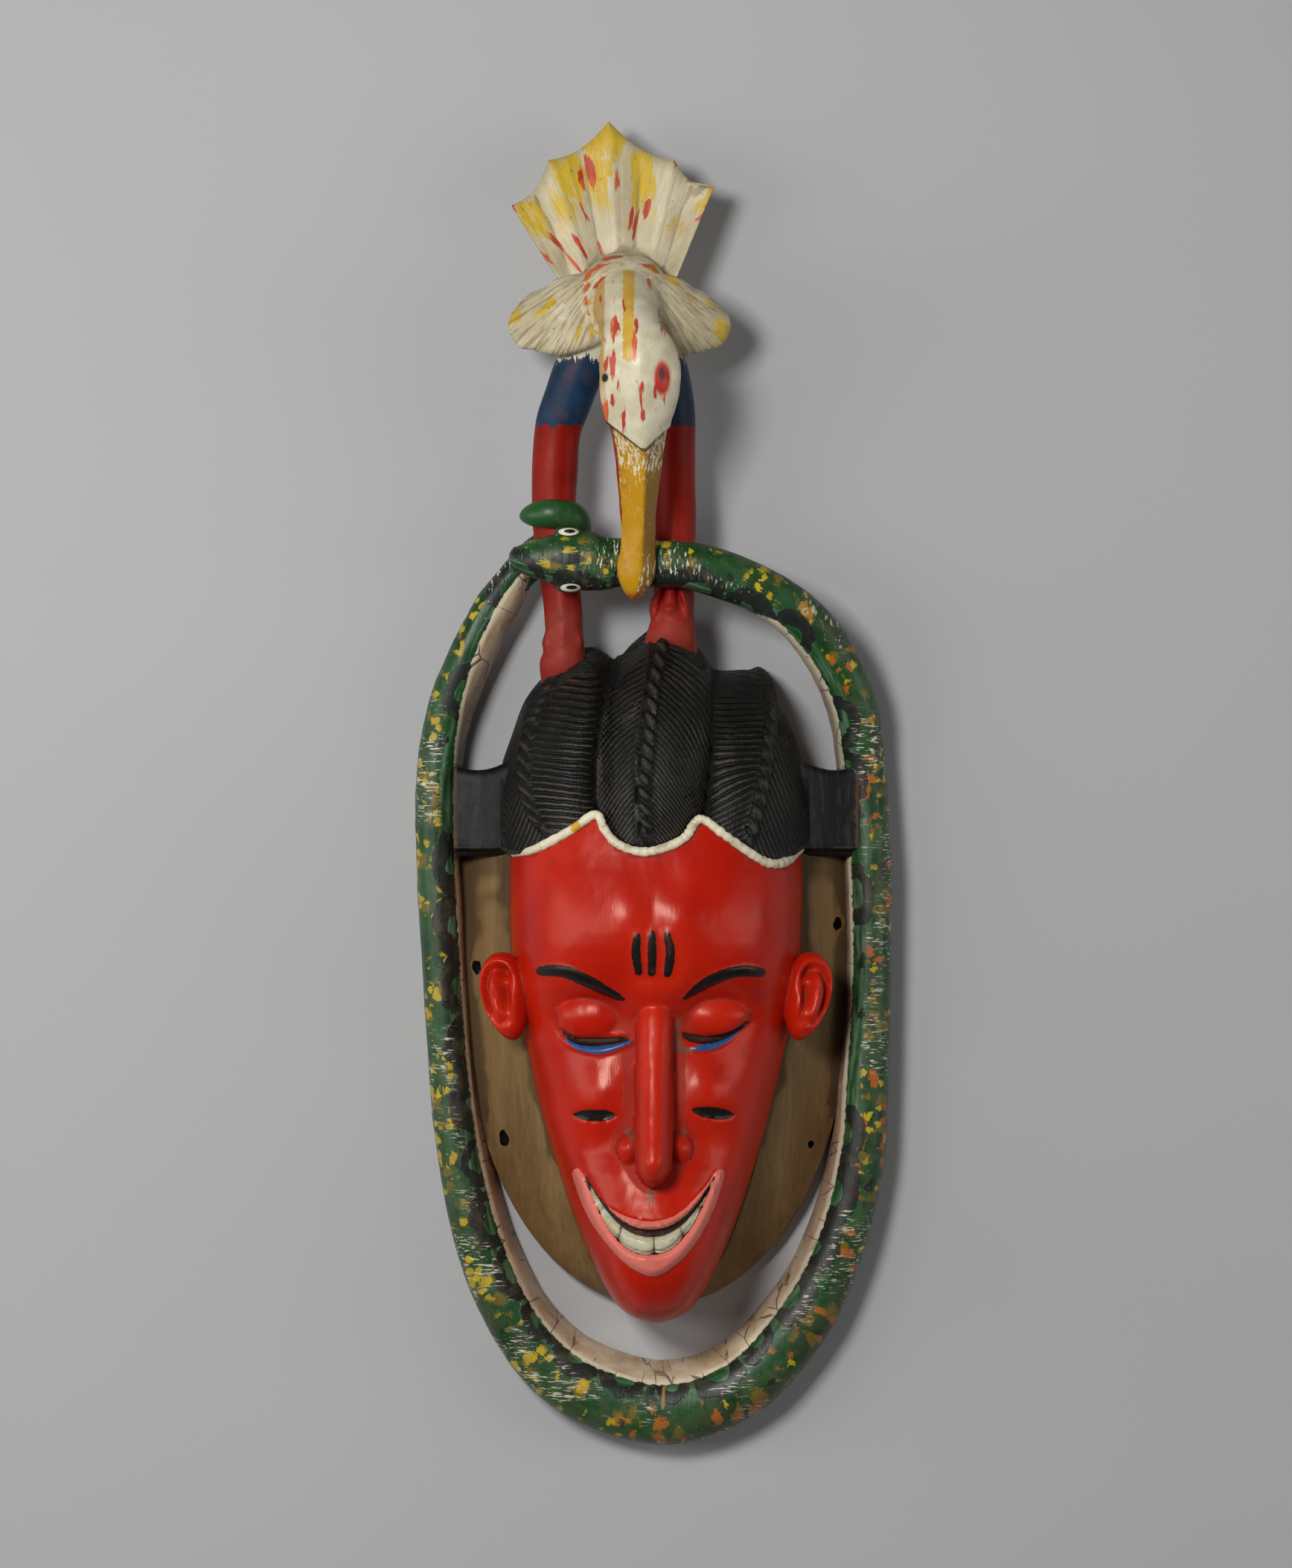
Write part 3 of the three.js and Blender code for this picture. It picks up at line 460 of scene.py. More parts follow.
def face_grid():
    """Face: sections from chin to crown, closer together at the eyes and mouth, each an arch over a flat back."""
    stops = [-301.5, -290, -272, -212, -186, -178, -150, -98, -80, 22]
    counts = [9, 12, 50, 17, 7, 14, 44, 10, 32]
    spans = [np.linspace(*span)[:-1] for span in zip(stops, stops[1:], counts)]
    y = np.concatenate([*spans, stops[-1:]])
    steps = 116
    dense = np.linspace(0, 1, 2000)
    arch = (1 - dense ** FACE["side"]) ** (1 / FACE["front"])
    weight = np.where(dense < 0.6, 1.0, 0.55)
    travel = np.concatenate([[0], np.cumsum(weight[1:] * np.hypot(np.diff(dense), np.diff(arch) * 1.2))])
    half_share = np.interp(np.linspace(0, travel[-1], steps // 2 + 1), travel, dense)
    share = np.concatenate([half_share[::-1], -half_share[1:]])
    back = np.array([-0.6, -0.2, 0.2, 0.6])
    half = along(FACE_WIDTH, y)[:, None]
    x = FACE["x"] + half * share[None, :]
    z = front_height(x, np.broadcast_to(y[:, None], x.shape))
    arch_points = np.stack([x, np.broadcast_to(y[:, None], x.shape), z], -1)
    back_x = FACE["x"] + half * back[None, :]
    back_y = np.broadcast_to(y[:, None], back_x.shape)
    back_points = np.stack([back_x, back_y, np.full_like(back_x, FACE["back"])], -1)
    grid = np.concatenate([arch_points, back_points], axis=1)
    grid[0] = (FACE["x"], y[0], 40)
    grid[-1] = (FACE["x"], y[-1], 40)
    return grid


def front_height(x, y):
    """Finished height of the face: skin, nose, nostrils, lids, lips and teeth, and the shallow carved marks."""
    z = face_height(x, y)
    marks = face_fields(x, y)
    # lids: a bulge over each slit, and a thin lower lid
    for side in (-1, 1):
        cx = FEATURE_X + side * 32.5
        u, v = (x - cx) / 20.5, (y + 127.5) / 14.5
        lid = face_height(np.array(cx), np.array(-128.0)) - 1.5 + 10.5 * np.sqrt(np.maximum(1 - u * u - v * v, 0))
        shown = (u * u + v * v < 1) & (marks["slit"] < 4)
        below = y < slit_line(x, side)
        lid = np.where(shown & ~below, lid, -99)
        z = np.maximum(z, soft_max(lid, z, 1.6))
    z = z + 1.3 * smooth_step(-1.6, 1.0, marks["blue"]) - 1.7 * smooth_step(-1.2, 1.2, marks["slit"])
    # nose and nostrils
    ridge = np.array(NOSE, float)
    top, half, drop = (along(list(zip(ridge[:, 0], ridge[:, k])), y) for k in (1, 2, 3))
    middle = np.interp(y, [-222, -190, -108], [-1.2, -0.8, 0.2])
    u = np.abs(x - middle) / np.maximum(half, 0.5)
    nose = top - drop * (1 - np.sqrt(np.maximum(1 - u ** 2.5, 0)))
    nose = np.where((u < 1) & (y < -108) & (y > -222), nose, -99)
    z = np.maximum(z, soft_max(nose, z, 2.2))
    for side in (-1, 1):
        cx = FEATURE_X + 0.8 + side * 13.4
        du, dv = x - cx, y + 200.5
        c, s = np.cos(np.radians(side * 14)), np.sin(np.radians(side * 14))
        u, v = np.abs(c * du + s * dv) / 7.6, np.abs(c * dv - s * du) / 9.6
        swell = np.maximum(1 - u ** 1.5 - v ** 1.6, 0)
        ala = face_height(np.array(cx), np.array(-202.0)) - 0.5 + 6.8 * np.sqrt(swell)
        z = np.maximum(z, soft_max(np.where(swell > 0, ala, -99), z, 1.2))
    # lips, the dark gap and the teeth
    lips, mouth, teeth = marks["lips"], marks["mouth"], marks["teeth"]
    ridge = np.minimum(lips, -mouth)
    z = z + 3.4 * smooth_step(-0.6, 3.2, ridge) + 0.8 * smooth_step(-0.2, 0.6, lips) * (mouth < 0)
    z = z + np.where(mouth > 0, -2.2 * smooth_step(0, 1.0, mouth), 0)
    z = z + np.where(teeth > 0, 3.4 * smooth_step(0, 2.4, teeth) - 1.6 * smooth_step(-0.7, 0.5, marks["gap"]), 0)
    # carved marks: raised bars and brows, sunk scars
    z = z + 1.3 * smooth_step(-1.0, 1.8, marks["bar"]) + 1.5 * smooth_step(-0.9, 2.2, marks["brow"])
    z = z - 1.5 * smooth_step(-0.6, 1.0, marks["scar"])
    knife = ripple(np.stack([x, y], -1), 26, 3) * 0.34 + ripple(np.stack([x, y], -1), 9, 4) * 0.10
    # under the hair the block drops away, so that the rolls meet the bead
    covered = y - along(HAIRLINE, x)
    z = z - 26 * smooth_step(0.5, 7, covered)
    return z + knife * smooth_step(FACE["back"] + 6, FACE["back"] + 30, z)


def slit_line(x, side):
    """Height in y of the middle of an eye's slit at x."""
    rows = np.array(SLIT_LEFT if side < 0 else SLIT_RIGHT)
    rows = rows[np.argsort(rows[:, 0])]
    return np.interp(x, rows[:, 0], rows[:, 1])


def ear_grid(side):
    """Ear: an oval shell with a rolled rim, a groove inside it, a fold and a sunk bowl."""
    def folds(u, v):
        u = u * side
        reach = np.hypot(u, v)
        away = np.arctan2(v, u)
        rim = 2.2 * bell(reach - 0.84, 0.12) * smooth_step(-2.5, -1.7, -np.abs(away - 0.9))
        groove = -4.2 * bell(reach - 0.60, 0.13) * smooth_step(-2.0, -1.0, -np.abs(away - 0.95))
        fold = 2.2 * hill(u, v, 0.10, 0.34, 0.16, 0.34) + 1.6 * hill(u, v, 0.12, -0.30, 0.2, 0.26)
        bowl = -7.0 * hill(u, v, -0.26, 0.02, 0.26, 0.34) - 3.0 * hill(u, v, -0.30, 0.52, 0.22, 0.16)
        flap = 3.0 * hill(u, v, -0.62, -0.20, 0.2, 0.34)
        lobe = 1.4 * hill(u, v, -0.15, -0.76, 0.36, 0.18) - 1.6 * hill(u, v, 0.02, -0.56, 0.3, 0.1)
        return rim + groove + fold + bowl + flap + lobe
    grid = egg((0, 0, 0), (13.2, 25.0, 13), (0, 0, 0), 76, 60, folds)
    grid[..., 0] *= 1 + 0.009 * grid[..., 1]
    return turn(grid, 0, side * 20, -side * 11) + np.array([FACE["x"] + side * 83.5, -117.5, 66])


# ---- Collar and hollow ----

def collar_half(y):
    """Half width of the collar's egg outline at y."""
    below = y < COLLAR["y"]
    s = np.clip(np.abs(y - COLLAR["y"]) / np.where(below, COLLAR["down"], COLLAR["up"]), 0, 1)
    bulge = np.where(below, COLLAR["down_power"], COLLAR["up_power"])
    return COLLAR["half"] * (1 - s ** bulge) ** (1 / bulge)


def collar_grid():
    """Collar: flat behind, a rounded rim, and a slope with adze marks that rises under the face."""
    angle = np.pi * (np.linspace(0, 1, 71) - 0.5)
    y = COLLAR["y"] + np.where(angle < 0, COLLAR["down"], COLLAR["up"]) * power(np.sin(angle), 0.9)
    half = np.maximum(collar_half(y), 4)[:, None]
    plateau = RIM + 0.38 * half
    rim_x = np.array([0, 0, 0.3, 1.5])
    rim_z = np.array([0, 0.75, 0.93, 1.0])
    slope = np.linspace(0, 1, 12)[1:]
    x = np.concatenate([half - rim_x, (half - 1.5) + (0.6 * half - (half - 1.5)) * slope, 0.2 * half], axis=1)
    z = np.concatenate([RIM * rim_z + 0 * half, RIM + (plateau - RIM) * slope, plateau], axis=1)
    x, z = np.concatenate([x, -x[:, ::-1]], axis=1), np.concatenate([z, z[:, ::-1]], axis=1)
    grid = np.stack([COLLAR["x"] + x, np.broadcast_to(y[:, None], x.shape), z], -1)
    grid[..., 2] += (ripple(grid[..., :2], 22, 21) * 0.5 + ripple(grid[..., :2], 60, 22) * 0.7) * (z > RIM * 0.9)
    grid[0], grid[-1] = (COLLAR["x"], y[0], 4), (COLLAR["x"], y[-1], 4)
    return grid


def hollow_grid():
    """Hollow for the wearer's face: a wide mouth inside the collar that narrows to a bowl one wall under the face."""
    foot = COLLAR["y"] - COLLAR["down"] + LAND
    steps = 44
    v = np.linspace(0, 1, 61)[:, None]
    y = foot + (34 - foot) * v
    end = np.sqrt(np.maximum(0, 1 - (2 * v - 1) ** 6))
    mouth = np.maximum(collar_half(np.minimum(y, COLLAR["y"] + COLLAR["up"] * 0.8)) - LAND, 3) * end
    bowl = np.minimum(np.maximum(along(FACE_WIDTH, y - 8) - WALL, 2) * end, mouth)
    front = np.minimum(along(FACE_PROFILE, y - 6), along(FACE_PROFILE, y + 4))
    height = np.maximum(front - WALL, 8) * end
    angle = np.pi * np.arange(steps + 1)[None, :] / steps
    rise = np.maximum(np.sin(angle), 0)
    half = bowl + (mouth - bowl) * (1 - rise) ** 3
    x = COLLAR["x"] + half * power(np.cos(angle), 0.8)
    ys = np.broadcast_to(y, x.shape)
    z = np.minimum(height * rise ** 0.85 - 3 * (1 - rise), np.maximum(face_height(x, ys) - WALL, 20))
    z = z + ripple(np.stack([x, ys], -1), 30, 31) * 0.8 * rise
    grid = np.stack([x, ys, z], -1)
    back = np.stack([np.full_like(y, COLLAR["x"]), y, np.full_like(y, -3.0)], -1)
    grid = np.concatenate([grid, back], axis=1)
    grid[0], grid[-1] = back[0], back[-1]
    return grid


def lacing_grid(x, y, a, b, lean):
    """Hole through the collar: an upright oval post, a little leaning and uneven."""
    z = np.array([-5, -5, 20, 40, 60, 60])[:, None]
    size = np.array([0, 1, 1, 1.05, 1.1, 0])[:, None]
    angle = 2 * np.pi * np.arange(28)[None, :] / 28
    rough = 1 + 0.07 * np.sin(3 * angle + x) + 0.05 * np.sin(5 * angle + y)
    c, s = np.cos(np.radians(lean)), np.sin(np.radians(lean))
    du, dv = a * size * rough * np.cos(angle), b * size * rough * np.sin(angle)
    return np.stack([x + c * du - s * dv, y + s * du + c * dv, z + 0 * angle], -1)


# ---- Hair ----

def fall(y, z):
    """Way along the hair: y on top of a roll, and 0.9 of the height on the steep side towards the face."""
    return y + 0.9 * np.maximum(0, 66 - z)


def strand_map(x, y, z):
    """Carved strands as (phase, depth): a groove lies at each whole phase. Each roll has its own run of strands."""
    down = fall(y, z)
    flow = np.stack([x, y, z], -1)
    wander = 0.10 * ripple(flow, 30, 41) + 0.05 * ripple(flow, 9, 42)
    left, right = along(VALLEY_LEFT, y), along(VALLEY_RIGHT, y)
    plait_l, plait_r = along(PLAIT_LEFT, y), along(PLAIT_RIGHT, y)
    crest = along(CREST_MIDDLE, y)
    slope = np.interp(y, [-40, 0, 40, 90], [1.15, 1.0, 0.62, 0.3])
    away = x - crest
    bend = slope * np.abs(away) * (1 + 0.012 * np.abs(away))
    tilt = 0.5 * smooth_step(22, -14, y) * (x - 58)
    phase = np.select(
        [x < plait_l, x < left, x < crest, x < right, x < plait_r],
        [
            (x - 0.42 * down) / 2.7,
            np.log(3.7 + 0.0075 * (down + 0.1 * (x + 50))) / 0.0075,
            (down + bend) / 3.4,
            (down + bend * 0.85) / 3.0,
            (down - tilt) / 3.3,
        ],
        (x + 0.40 * down) / 2.7,
    ) + wander
    lines = np.stack([x - plait_l, x - left, x - crest, x - right, x - plait_r], 0)
    near = np.abs(lines).min(axis=0)
    depth = smooth_step(0.4, 2.6, near) * (0.82 + 0.25 * ripple(flow, 40, 43))
    return phase, depth


def plait_map(x, y, z):
    """Place across the nearest plait, 1 at its edge, and its twist, 1 at the middle of each slanting turn."""
    down = fall(y, z)
    nearest, twist = np.full(np.shape(x), 9.0), np.zeros(np.shape(x))
    for line, half, seed in ((PLAIT_LEFT, 3.9, 1), (PLAIT_MIDDLE, 3.9, 2), (PLAIT_RIGHT, 3.5, 3)):
        across = (x - along(line, y)) / half
        turns = 0.5 + 0.5 * np.cos(2 * np.pi * (down / 8.2 + 0.45 * across + 0.3 * seed))
        closer = np.abs(across) < np.abs(nearest)
        nearest, twist = np.where(closer, across, nearest), np.where(closer, turns, twist)
    return nearest, twist


def hair_relief(x, y, z):
    """Height of strands, plaits, crests and the strand beside the left valley, in mm over the roll."""
    phase, depth = strand_map(x, y, z)
    lift = -0.95 * depth * (0.5 + 0.5 * np.cos(2 * np.pi * phase)) ** 1.3
    across, twist = plait_map(x, y, z)
    body = np.sqrt(np.maximum(1 - across ** 2, 0))
    lift = np.where(body > 0, body * (0.4 + 2.6 * twist ** 0.6) - 1.2 * (1 - body), lift)
    for line, height in ((CREST_MIDDLE, 1.1), (CREST_RIGHT, 1.0)):
        lift = lift + height * bell(x - along(line, y), 1.1) * (body == 0)
    lift = lift + 1.6 * bell(x - along(VALLEY_LEFT, y) - 1.9, 1.3)
    return lift


def hair_grid():
    """Hair: slices side by side, each an arch from the hairline over the crown to the flat back."""
    outer = np.linspace(0, 1, 30)[:-1]
    x = np.concatenate([-87 + 27 * outer, np.linspace(-60, 60, 92)[:-1], 60 + 27 * np.linspace(0, 1, 30)])
    steps = 158
    share = np.linspace(0, 1, steps + 1)[None, :]
    angle = np.pi / 2 * (0.72 * share ** 0.9 + 0.28 * share ** 1.6)
    line = along(HAIRLINE, x)[:, None]
    top = np.maximum(along(HAIR_TOP, x)[:, None], line + 12)
    side = np.abs(2 * (x - HAIR["left"]) / (HAIR["right"] - HAIR["left"]) - 1)[:, None] ** 4
    scalp = HAIR["scalp"] - (HAIR["scalp"] - HAIR["side"]) * side
    y = line + (top - line) * np.sin(angle) ** 0.8
    xs = np.broadcast_to(x[:, None], y.shape)
    bounds = np.stack([np.full_like(y, HAIR["left"]), along(VALLEY_LEFT, y), along(VALLEY_RIGHT, y),
                       np.full_like(y, HAIR["right"])])
    roll = np.clip((bounds < xs).sum(axis=0) - 1, 0, 2)
    low, high = np.take_along_axis(bounds, roll[None], 0)[0], np.take_along_axis(bounds, roll[None] + 1, 0)[0]
    across = 2 * (xs - low) / (high - low) - 1
    front = scalp + ROLL_LIFT[roll] * np.sqrt(np.maximum(0, 1 - across * across))
    z = front * np.maximum(np.cos(angle), 0) ** 0.8
    z[:, 0] *= 0.97
    grid = np.stack([xs, y, z], -1)
    du, dv = np.gradient(grid, axis=0), np.gradient(grid, axis=1)
    normal = np.cross(du, dv)
    normal /= np.maximum(np.linalg.norm(normal, axis=-1, keepdims=True), 1e-9)
    fade = smooth_step(0, 5, z) * smooth_step(0, 0.03, share)
    grid = grid + normal * (hair_relief(xs, y, z) * fade)[..., None]
    back = np.stack([
        np.stack([x, top[:, 0], 0 * x], -1), np.stack([x, line[:, 0], 0 * x], -1),
        np.stack([x, line[:, 0], scalp[:, 0] * 0.6], -1), np.stack([x, line[:, 0] + 1, scalp[:, 0] * 0.95], -1),
    ], axis=1)
    grid = np.concatenate([grid, back], axis=1)
    grid[0], grid[-1] = (x[0], HAIR["middle"], 24), (x[-1], HAIR["middle"], 24)
    return grid


def hairline_grid():
    """Cream bead along the hairline: a low oval with an uneven, hand-cut edge."""
    line = np.array(HAIRLINE[1:-1], float)
    height = np.maximum(face_height(line[:, 0], line[:, 1]), 30) + 0.8
    width = np.full(len(line), 2.5)
    width[[0, -1]] = 1.6
    rows = np.stack([line[:, 0], line[:, 1], height, 2.3 + 0 * width, width], 1)
    def relief(t, angle):
        return 0.35 * ripple(np.stack([t * 400 + 0 * angle, 3 * np.cos(angle) + 0 * t], -1), 9, 51)
    return limb(rows, UP, 14, 220, relief=relief)


def bracket_grid(side):
    """Block that ties the hair to the ring: a rounded box, lower outside, with a sunk step at its foot."""
    share = np.concatenate([[0, 0, 0], np.linspace(0, 1, 25), [1, 1, 1]])[:, None]
    size = np.concatenate([[0, 0.5, 0.93], np.ones(25), [0.93, 0.5, 0]])[:, None]
    x = 0.5 + side * (79 + (34.6 if side < 0 else 35) * share)
    angle = 2 * np.pi * (np.arange(72)[None, :] + 0.5) / 72
    y = 28 * size * power(np.cos(angle), 0.16)
    z = 24 * size * power(np.sin(angle), 0.16)
    y = y - (5 * share + 4.5 * np.sin(np.pi * share)) * smooth_step(0, 28, y)
    z = z - (11 * share + 2.5 * np.sin(np.pi * share)) * smooth_step(0, 24, z)
    step = smooth_step(-23, -25.5, y) * smooth_step(5, 15, z)
    z = z - 5 * step
    grid = np.stack([x + 0 * y, y - 12, z + 24], -1)
    grid[..., 2] += 0.35 * ripple(grid, 14, 61 + side) * (z > 5)
    return grid


# ---- Snake and bird ----

def ring_section(angle, depth, width, slant, cream):
    """Snake's section: a rounded front with a crisp inner edge, and an inner wall that slants out to the back."""
    inwards = np.maximum(0, np.cos(angle))
    z = depth * power(np.sin(angle), 0.8 - 0.28 * smooth_step(0, 0.5, inwards) * (slant > 0.5))
    return z, width * power(np.cos(angle), 0.85) + slant * inwards * (1 - z / depth) / 2


def bar_place(t, angle, length):
    """Places on a round bar of a length, 12 mm in radius, at which the knife marks of a limb are looked up."""
    return np.stack([t * length + 0 * angle, 12 * np.cos(angle) + 0 * t, 12 * np.sin(angle) + 0 * t], -1)


def ring_relief(t, angle):
    """Uneven carving of the snake's body, gentle along it."""
    where = bar_place(t, angle, 1700)
    return 0.45 * ripple(where, 46, 71) + 0.14 * ripple(where, 13, 72)


def leg_relief(seed):
    """Knife marks of a leg: half a millimetre of ripple over the way along it and round it."""
    def relief(t, angle):
        return 0.5 * ripple(bar_place(t, angle, 200), 30, seed)
    return relief


def foot_grid(x, y, z):
    """Foot: three carved toes side by side, with creases, splayed over the hair."""
    toes = np.vstack([TOES, TOES[:1]])
    count = 66
    outline = blend_rows(toes, np.arange(count) / count)
    v = np.linspace(0, 1, 25)[:, None]
    size = np.sin(np.pi * (0.08 + 0.84 * v)) ** 0.5
    size[[0, -1]] = 0
    crease = -1.3 * bell(v - 0.34 - 0.01 * outline[None, :, 0], 0.035)
    crease = (crease - 1.0 * bell(v - 0.55, 0.03)) * smooth_step(0.0, 6.0, outline[None, :, 1])
    gx = x + outline[None, :, 0] * size * (1.02 - 0.16 * v)
    gz = z + (outline[None, :, 1] * 0.92 + crease) * size - 3 * (1 - v)
    return np.stack([gx, y - 9 + 26 * v + 0 * gx, gz], -1)


def fan_grid():
    """Tail fan: two ribbed faces between a root and a scalloped edge, with sharp creases between the feathers."""
    steps = 26
    t = np.arange(steps) / steps
    start, step = FAN_TIPS[:-1, None], np.diff(FAN_TIPS, axis=0)[:, None]
    edge = (start + step * t[None, :, None]).reshape(-1, 2)
    edge = np.vstack([edge, FAN_TIPS[-1:]])
    t = np.concatenate([np.tile(t, 4), [1.0]])
    root = np.array(FAN["root"])
    out = edge - root
    out *= 1 - (FAN["dip"] * 4 * t * (1 - t) / np.linalg.norm(out, axis=1))[:, None]
    count = len(edge)
    reach = np.concatenate([[0, 0, 0.12], np.linspace(0.2, 0.93, 24), [0.965, 0.99, 1.0, 1.0]])[:, None]
    share = np.concatenate([[0, 0.9, 0.95], np.ones(24), [0.9, 0.72, 0.4, 0]])[:, None]
    k = np.arange(count)
    root_x = root[0] + FAN["root_half"] * (2 * k / (count - 1) - 1)
    x = root_x + (root[0] + out[:, 0] - root_x) * reach
    y = root[1] + out[:, 1] * reach
    crease = bell(t - 0.5, 0.06) + 0.6 * bell(t - 0.15, 0.05)
    rib = FAN["rib"] * np.cos(2 * np.pi * t) - 0.9 * crease * smooth_step(0.15, 0.5, reach)
    rib = rib + 0.3 * ripple(np.stack([x, y * 0.3], -1), 14, 81)
    thick = (FAN["thick"] / 2 + rib) * share
    middle = FAN["z"] + FAN["lean"] * (y - root[1])
    front = np.stack([x, y, middle + thick], -1)
    back = np.stack([x, y, middle - thick], -1)[:, ::-1]
    grid = np.concatenate([front, back], axis=1)
    grid[0] = (root[0], root[1], FAN["z"])
    grid[-1] = grid[-1].mean(axis=0)
    return grid


def raised(grid, amount):
    """Grid moved along its own normals, away from each row's middle, by an amount in mm at every point."""
    normal = np.cross(np.gradient(grid, axis=0), np.roll(grid, -1, axis=1) - np.roll(grid, 1, axis=1))
    normal /= np.maximum(np.linalg.norm(normal, axis=-1, keepdims=True), 1e-9)
    outwards = np.sign(((grid - grid.mean(axis=1, keepdims=True)) * normal).sum(axis=-1, keepdims=True))
    return grid + normal * outwards * amount[..., None]


def skull_depth(x, y):
    """Depth in mm inside the white skull: over the two edges that climb from its point above the beak."""
    apex_x, apex_y, left, right = SKULL_POINT
    away = x - apex_x
    steep = np.where(away < 0, left, right)
    return (y - apex_y - np.abs(away) * steep) / np.sqrt(1 + steep ** 2)


def head_section(angle, a, b, ridge):
    """Head's section: an ellipse whose top half is drawn, by a share, to two flat facets and a ridge off centre."""
    side, top = np.cos(angle), np.sin(angle)
    facets = 1 - np.abs(side) ** 1.25
    high = np.where(top > 0, top * (1 - ridge) + facets * ridge, top)
    return a * (side + 0.22 * ridge * np.maximum(facets, 0) * (top > 0)), b * high


def head_grid():
    """Neck, skull and beak in one sweep: cut rings on the neck, eyes sunk at the sides, the skull over the beak."""
    grid = limb(HEAD, ACROSS, 46, 150, head_section)
    x, y, z = grid[..., 0], grid[..., 1], grid[..., 2]
    t = np.linspace(0, 1, grid.shape[0])[:, None] + 0 * x
    lift = 1.5 * smooth_step(-0.4, 0.5, skull_depth(x, y)) * smooth_step(0.42, 0.46, t)
    lift = lift + 1.5 * smooth_step(0.46, 0.42, t)
    for ring_y in (263.2, 252.6):
        lift = lift - 1.1 * bell(y - ring_y - 0.012 * (x + 13) ** 2, 0.8) * (z > 95)
    for eye_x, eye_y in ((-27.2, 225.5), (8.6, 226.5)):
        lift = lift - 1.4 * hill(x, y, eye_x, eye_y, 2.2, 2.6)
    lift = lift + 0.35 * ripple(grid, 22, 91) + 0.12 * ripple(grid, 8, 92)
    lift[[0, -1]] = 0
    return raised(grid, lift)


def wing_grid(side):
    """Wing: a short paddle, thick at the shoulder, cut off flat below, with its outer corner drawn out."""
    rows = [(BIRD_X + side * row[0], *row[1:]) for row in WING]
    def section(angle, thick, wide):
        high, along_y = np.cos(angle), -side * np.sin(angle)
        flat = smooth_step(0.1, -0.6, along_y)
        return thick * power(high, 1 - 0.45 * flat), -side * wide * power(along_y, 1 - 0.55 * flat)
    grid = limb(rows, UP, 48, 44, section)
    cuts = -0.7 * (0.5 + 0.5 * np.cos(2 * np.pi * (grid[..., 1] + 0.25 * np.abs(grid[..., 0] - BIRD_X)) / 8.5)) ** 6
    lift = 0.55 * ripple(grid, 20, 95 + side) + 0.2 * ripple(grid, 7, 98) + cuts * (grid[..., 2] > 55)
    lift[[0, -1]] = 0
    return raised(grid, lift)


# ---- Joining ----

def fuse(base, tools, operation):
    """Joins closed forms to the base, or cuts them from it, keeping each form's own material on its faces."""
    for tool in tools:
        step = base.modifiers.new("join", "BOOLEAN")
        step.operation = operation
        step.solver = "MANIFOLD"
        step.material_mode = "TRANSFER"
        step.object = tool
        bpy.context.view_layer.update()
        mesh = bpy.data.meshes.new_from_object(base.evaluated_get(bpy.context.evaluated_depsgraph_get()))
        base.modifiers.clear()
        base.data = mesh
        bpy.data.objects.remove(tool)
    return base


def fetch(items, name, width=1, kind=int):
    """One property of every vertex, edge, corner or face of a mesh, as rows of so many numbers."""
    data = np.empty(len(items) * width, kind)
    items.foreach_get(name, data)
    return data if width == 1 else data.reshape(-1, width)


def mesh_arrays(mesh):
    """Vertex places in mm, edges, each corner's vertex, and each face's corner count and material of a mesh."""
    points = fetch(mesh.vertices, "co", 3, float) / MM - CENTRE
    edges = fetch(mesh.edges, "vertices", 2)
    corners = fetch(mesh.loops, "vertex_index")
    counts = fetch(mesh.polygons, "loop_total")
    return points, edges, corners, counts, fetch(mesh.polygons, "material_index")


def neighbour_mean(points, edges):
    """Mean place of each vertex's neighbours."""
    total = np.zeros_like(points)
    count = np.zeros(len(points))
    for a, b in ((0, 1), (1, 0)):
        for k in range(points.shape[1]):
            total[:, k] += np.bincount(edges[:, a], points[edges[:, b], k], len(points))
        count += np.bincount(edges[:, a], minlength=len(points))
    return total / np.maximum(count, 1)[:, None]


def soften(mesh, groups, reach=4.0, turns=14):
    """Fillets the seams between forms of one group: relaxes vertices near a seam towards their neighbours' mean."""
    points, edges, corners, counts, slots = mesh_arrays(mesh)
    names = [m.name for m in mesh.materials]
    owner = np.repeat(slots, counts)
    seam = np.zeros(len(points), bool)
    for group in groups:
        member = [k for k, name in enumerate(names) if name in group]
        touch = np.zeros((len(points), len(names)), bool)
        touch[corners, owner] = True
        seam |= (touch[:, member].sum(axis=1) > 1) & (touch.sum(axis=1) == touch[:, member].sum(axis=1))
    away = np.where(seam, 0.0, 1e3)
    length = np.linalg.norm(points[edges[:, 0]] - points[edges[:, 1]], axis=1)
    for _ in range(8):
        for a, b in ((0, 1), (1, 0)):
            np.minimum.at(away, edges[:, a], away[edges[:, b]] + length)
    weight = (0.6 * smooth_step(reach, 0, away))[:, None]
    weight[points[:, 2] < 0.5] = 0
    for _ in range(turns):
        points = points + weight * (neighbour_mean(points, edges) - points)
    mesh.vertices.foreach_set("co", ((points + CENTRE) * MM).ravel())
    mesh.update()


def keep_inside(mesh, low, high):
    """Moves the few points that knife marks lifted past the box of the carving back onto it."""
    inside_box = np.clip(fetch(mesh.vertices, "co", 3, np.float32), np.array(low), np.array(high))
    mesh.vertices.foreach_set("co", inside_box.astype(np.float32).ravel())
    mesh.update()


def add_map(mesh, name, *values):
    """Stores up to three numbers a vertex as a vector attribute that a material can read."""
    data = np.zeros((len(mesh.vertices), 3), np.float32)
    for k, value in enumerate(values):
        data[:, k] = value
    mesh.attributes.new(name, "FLOAT_VECTOR", "POINT").data.foreach_set("vector", data.ravel())


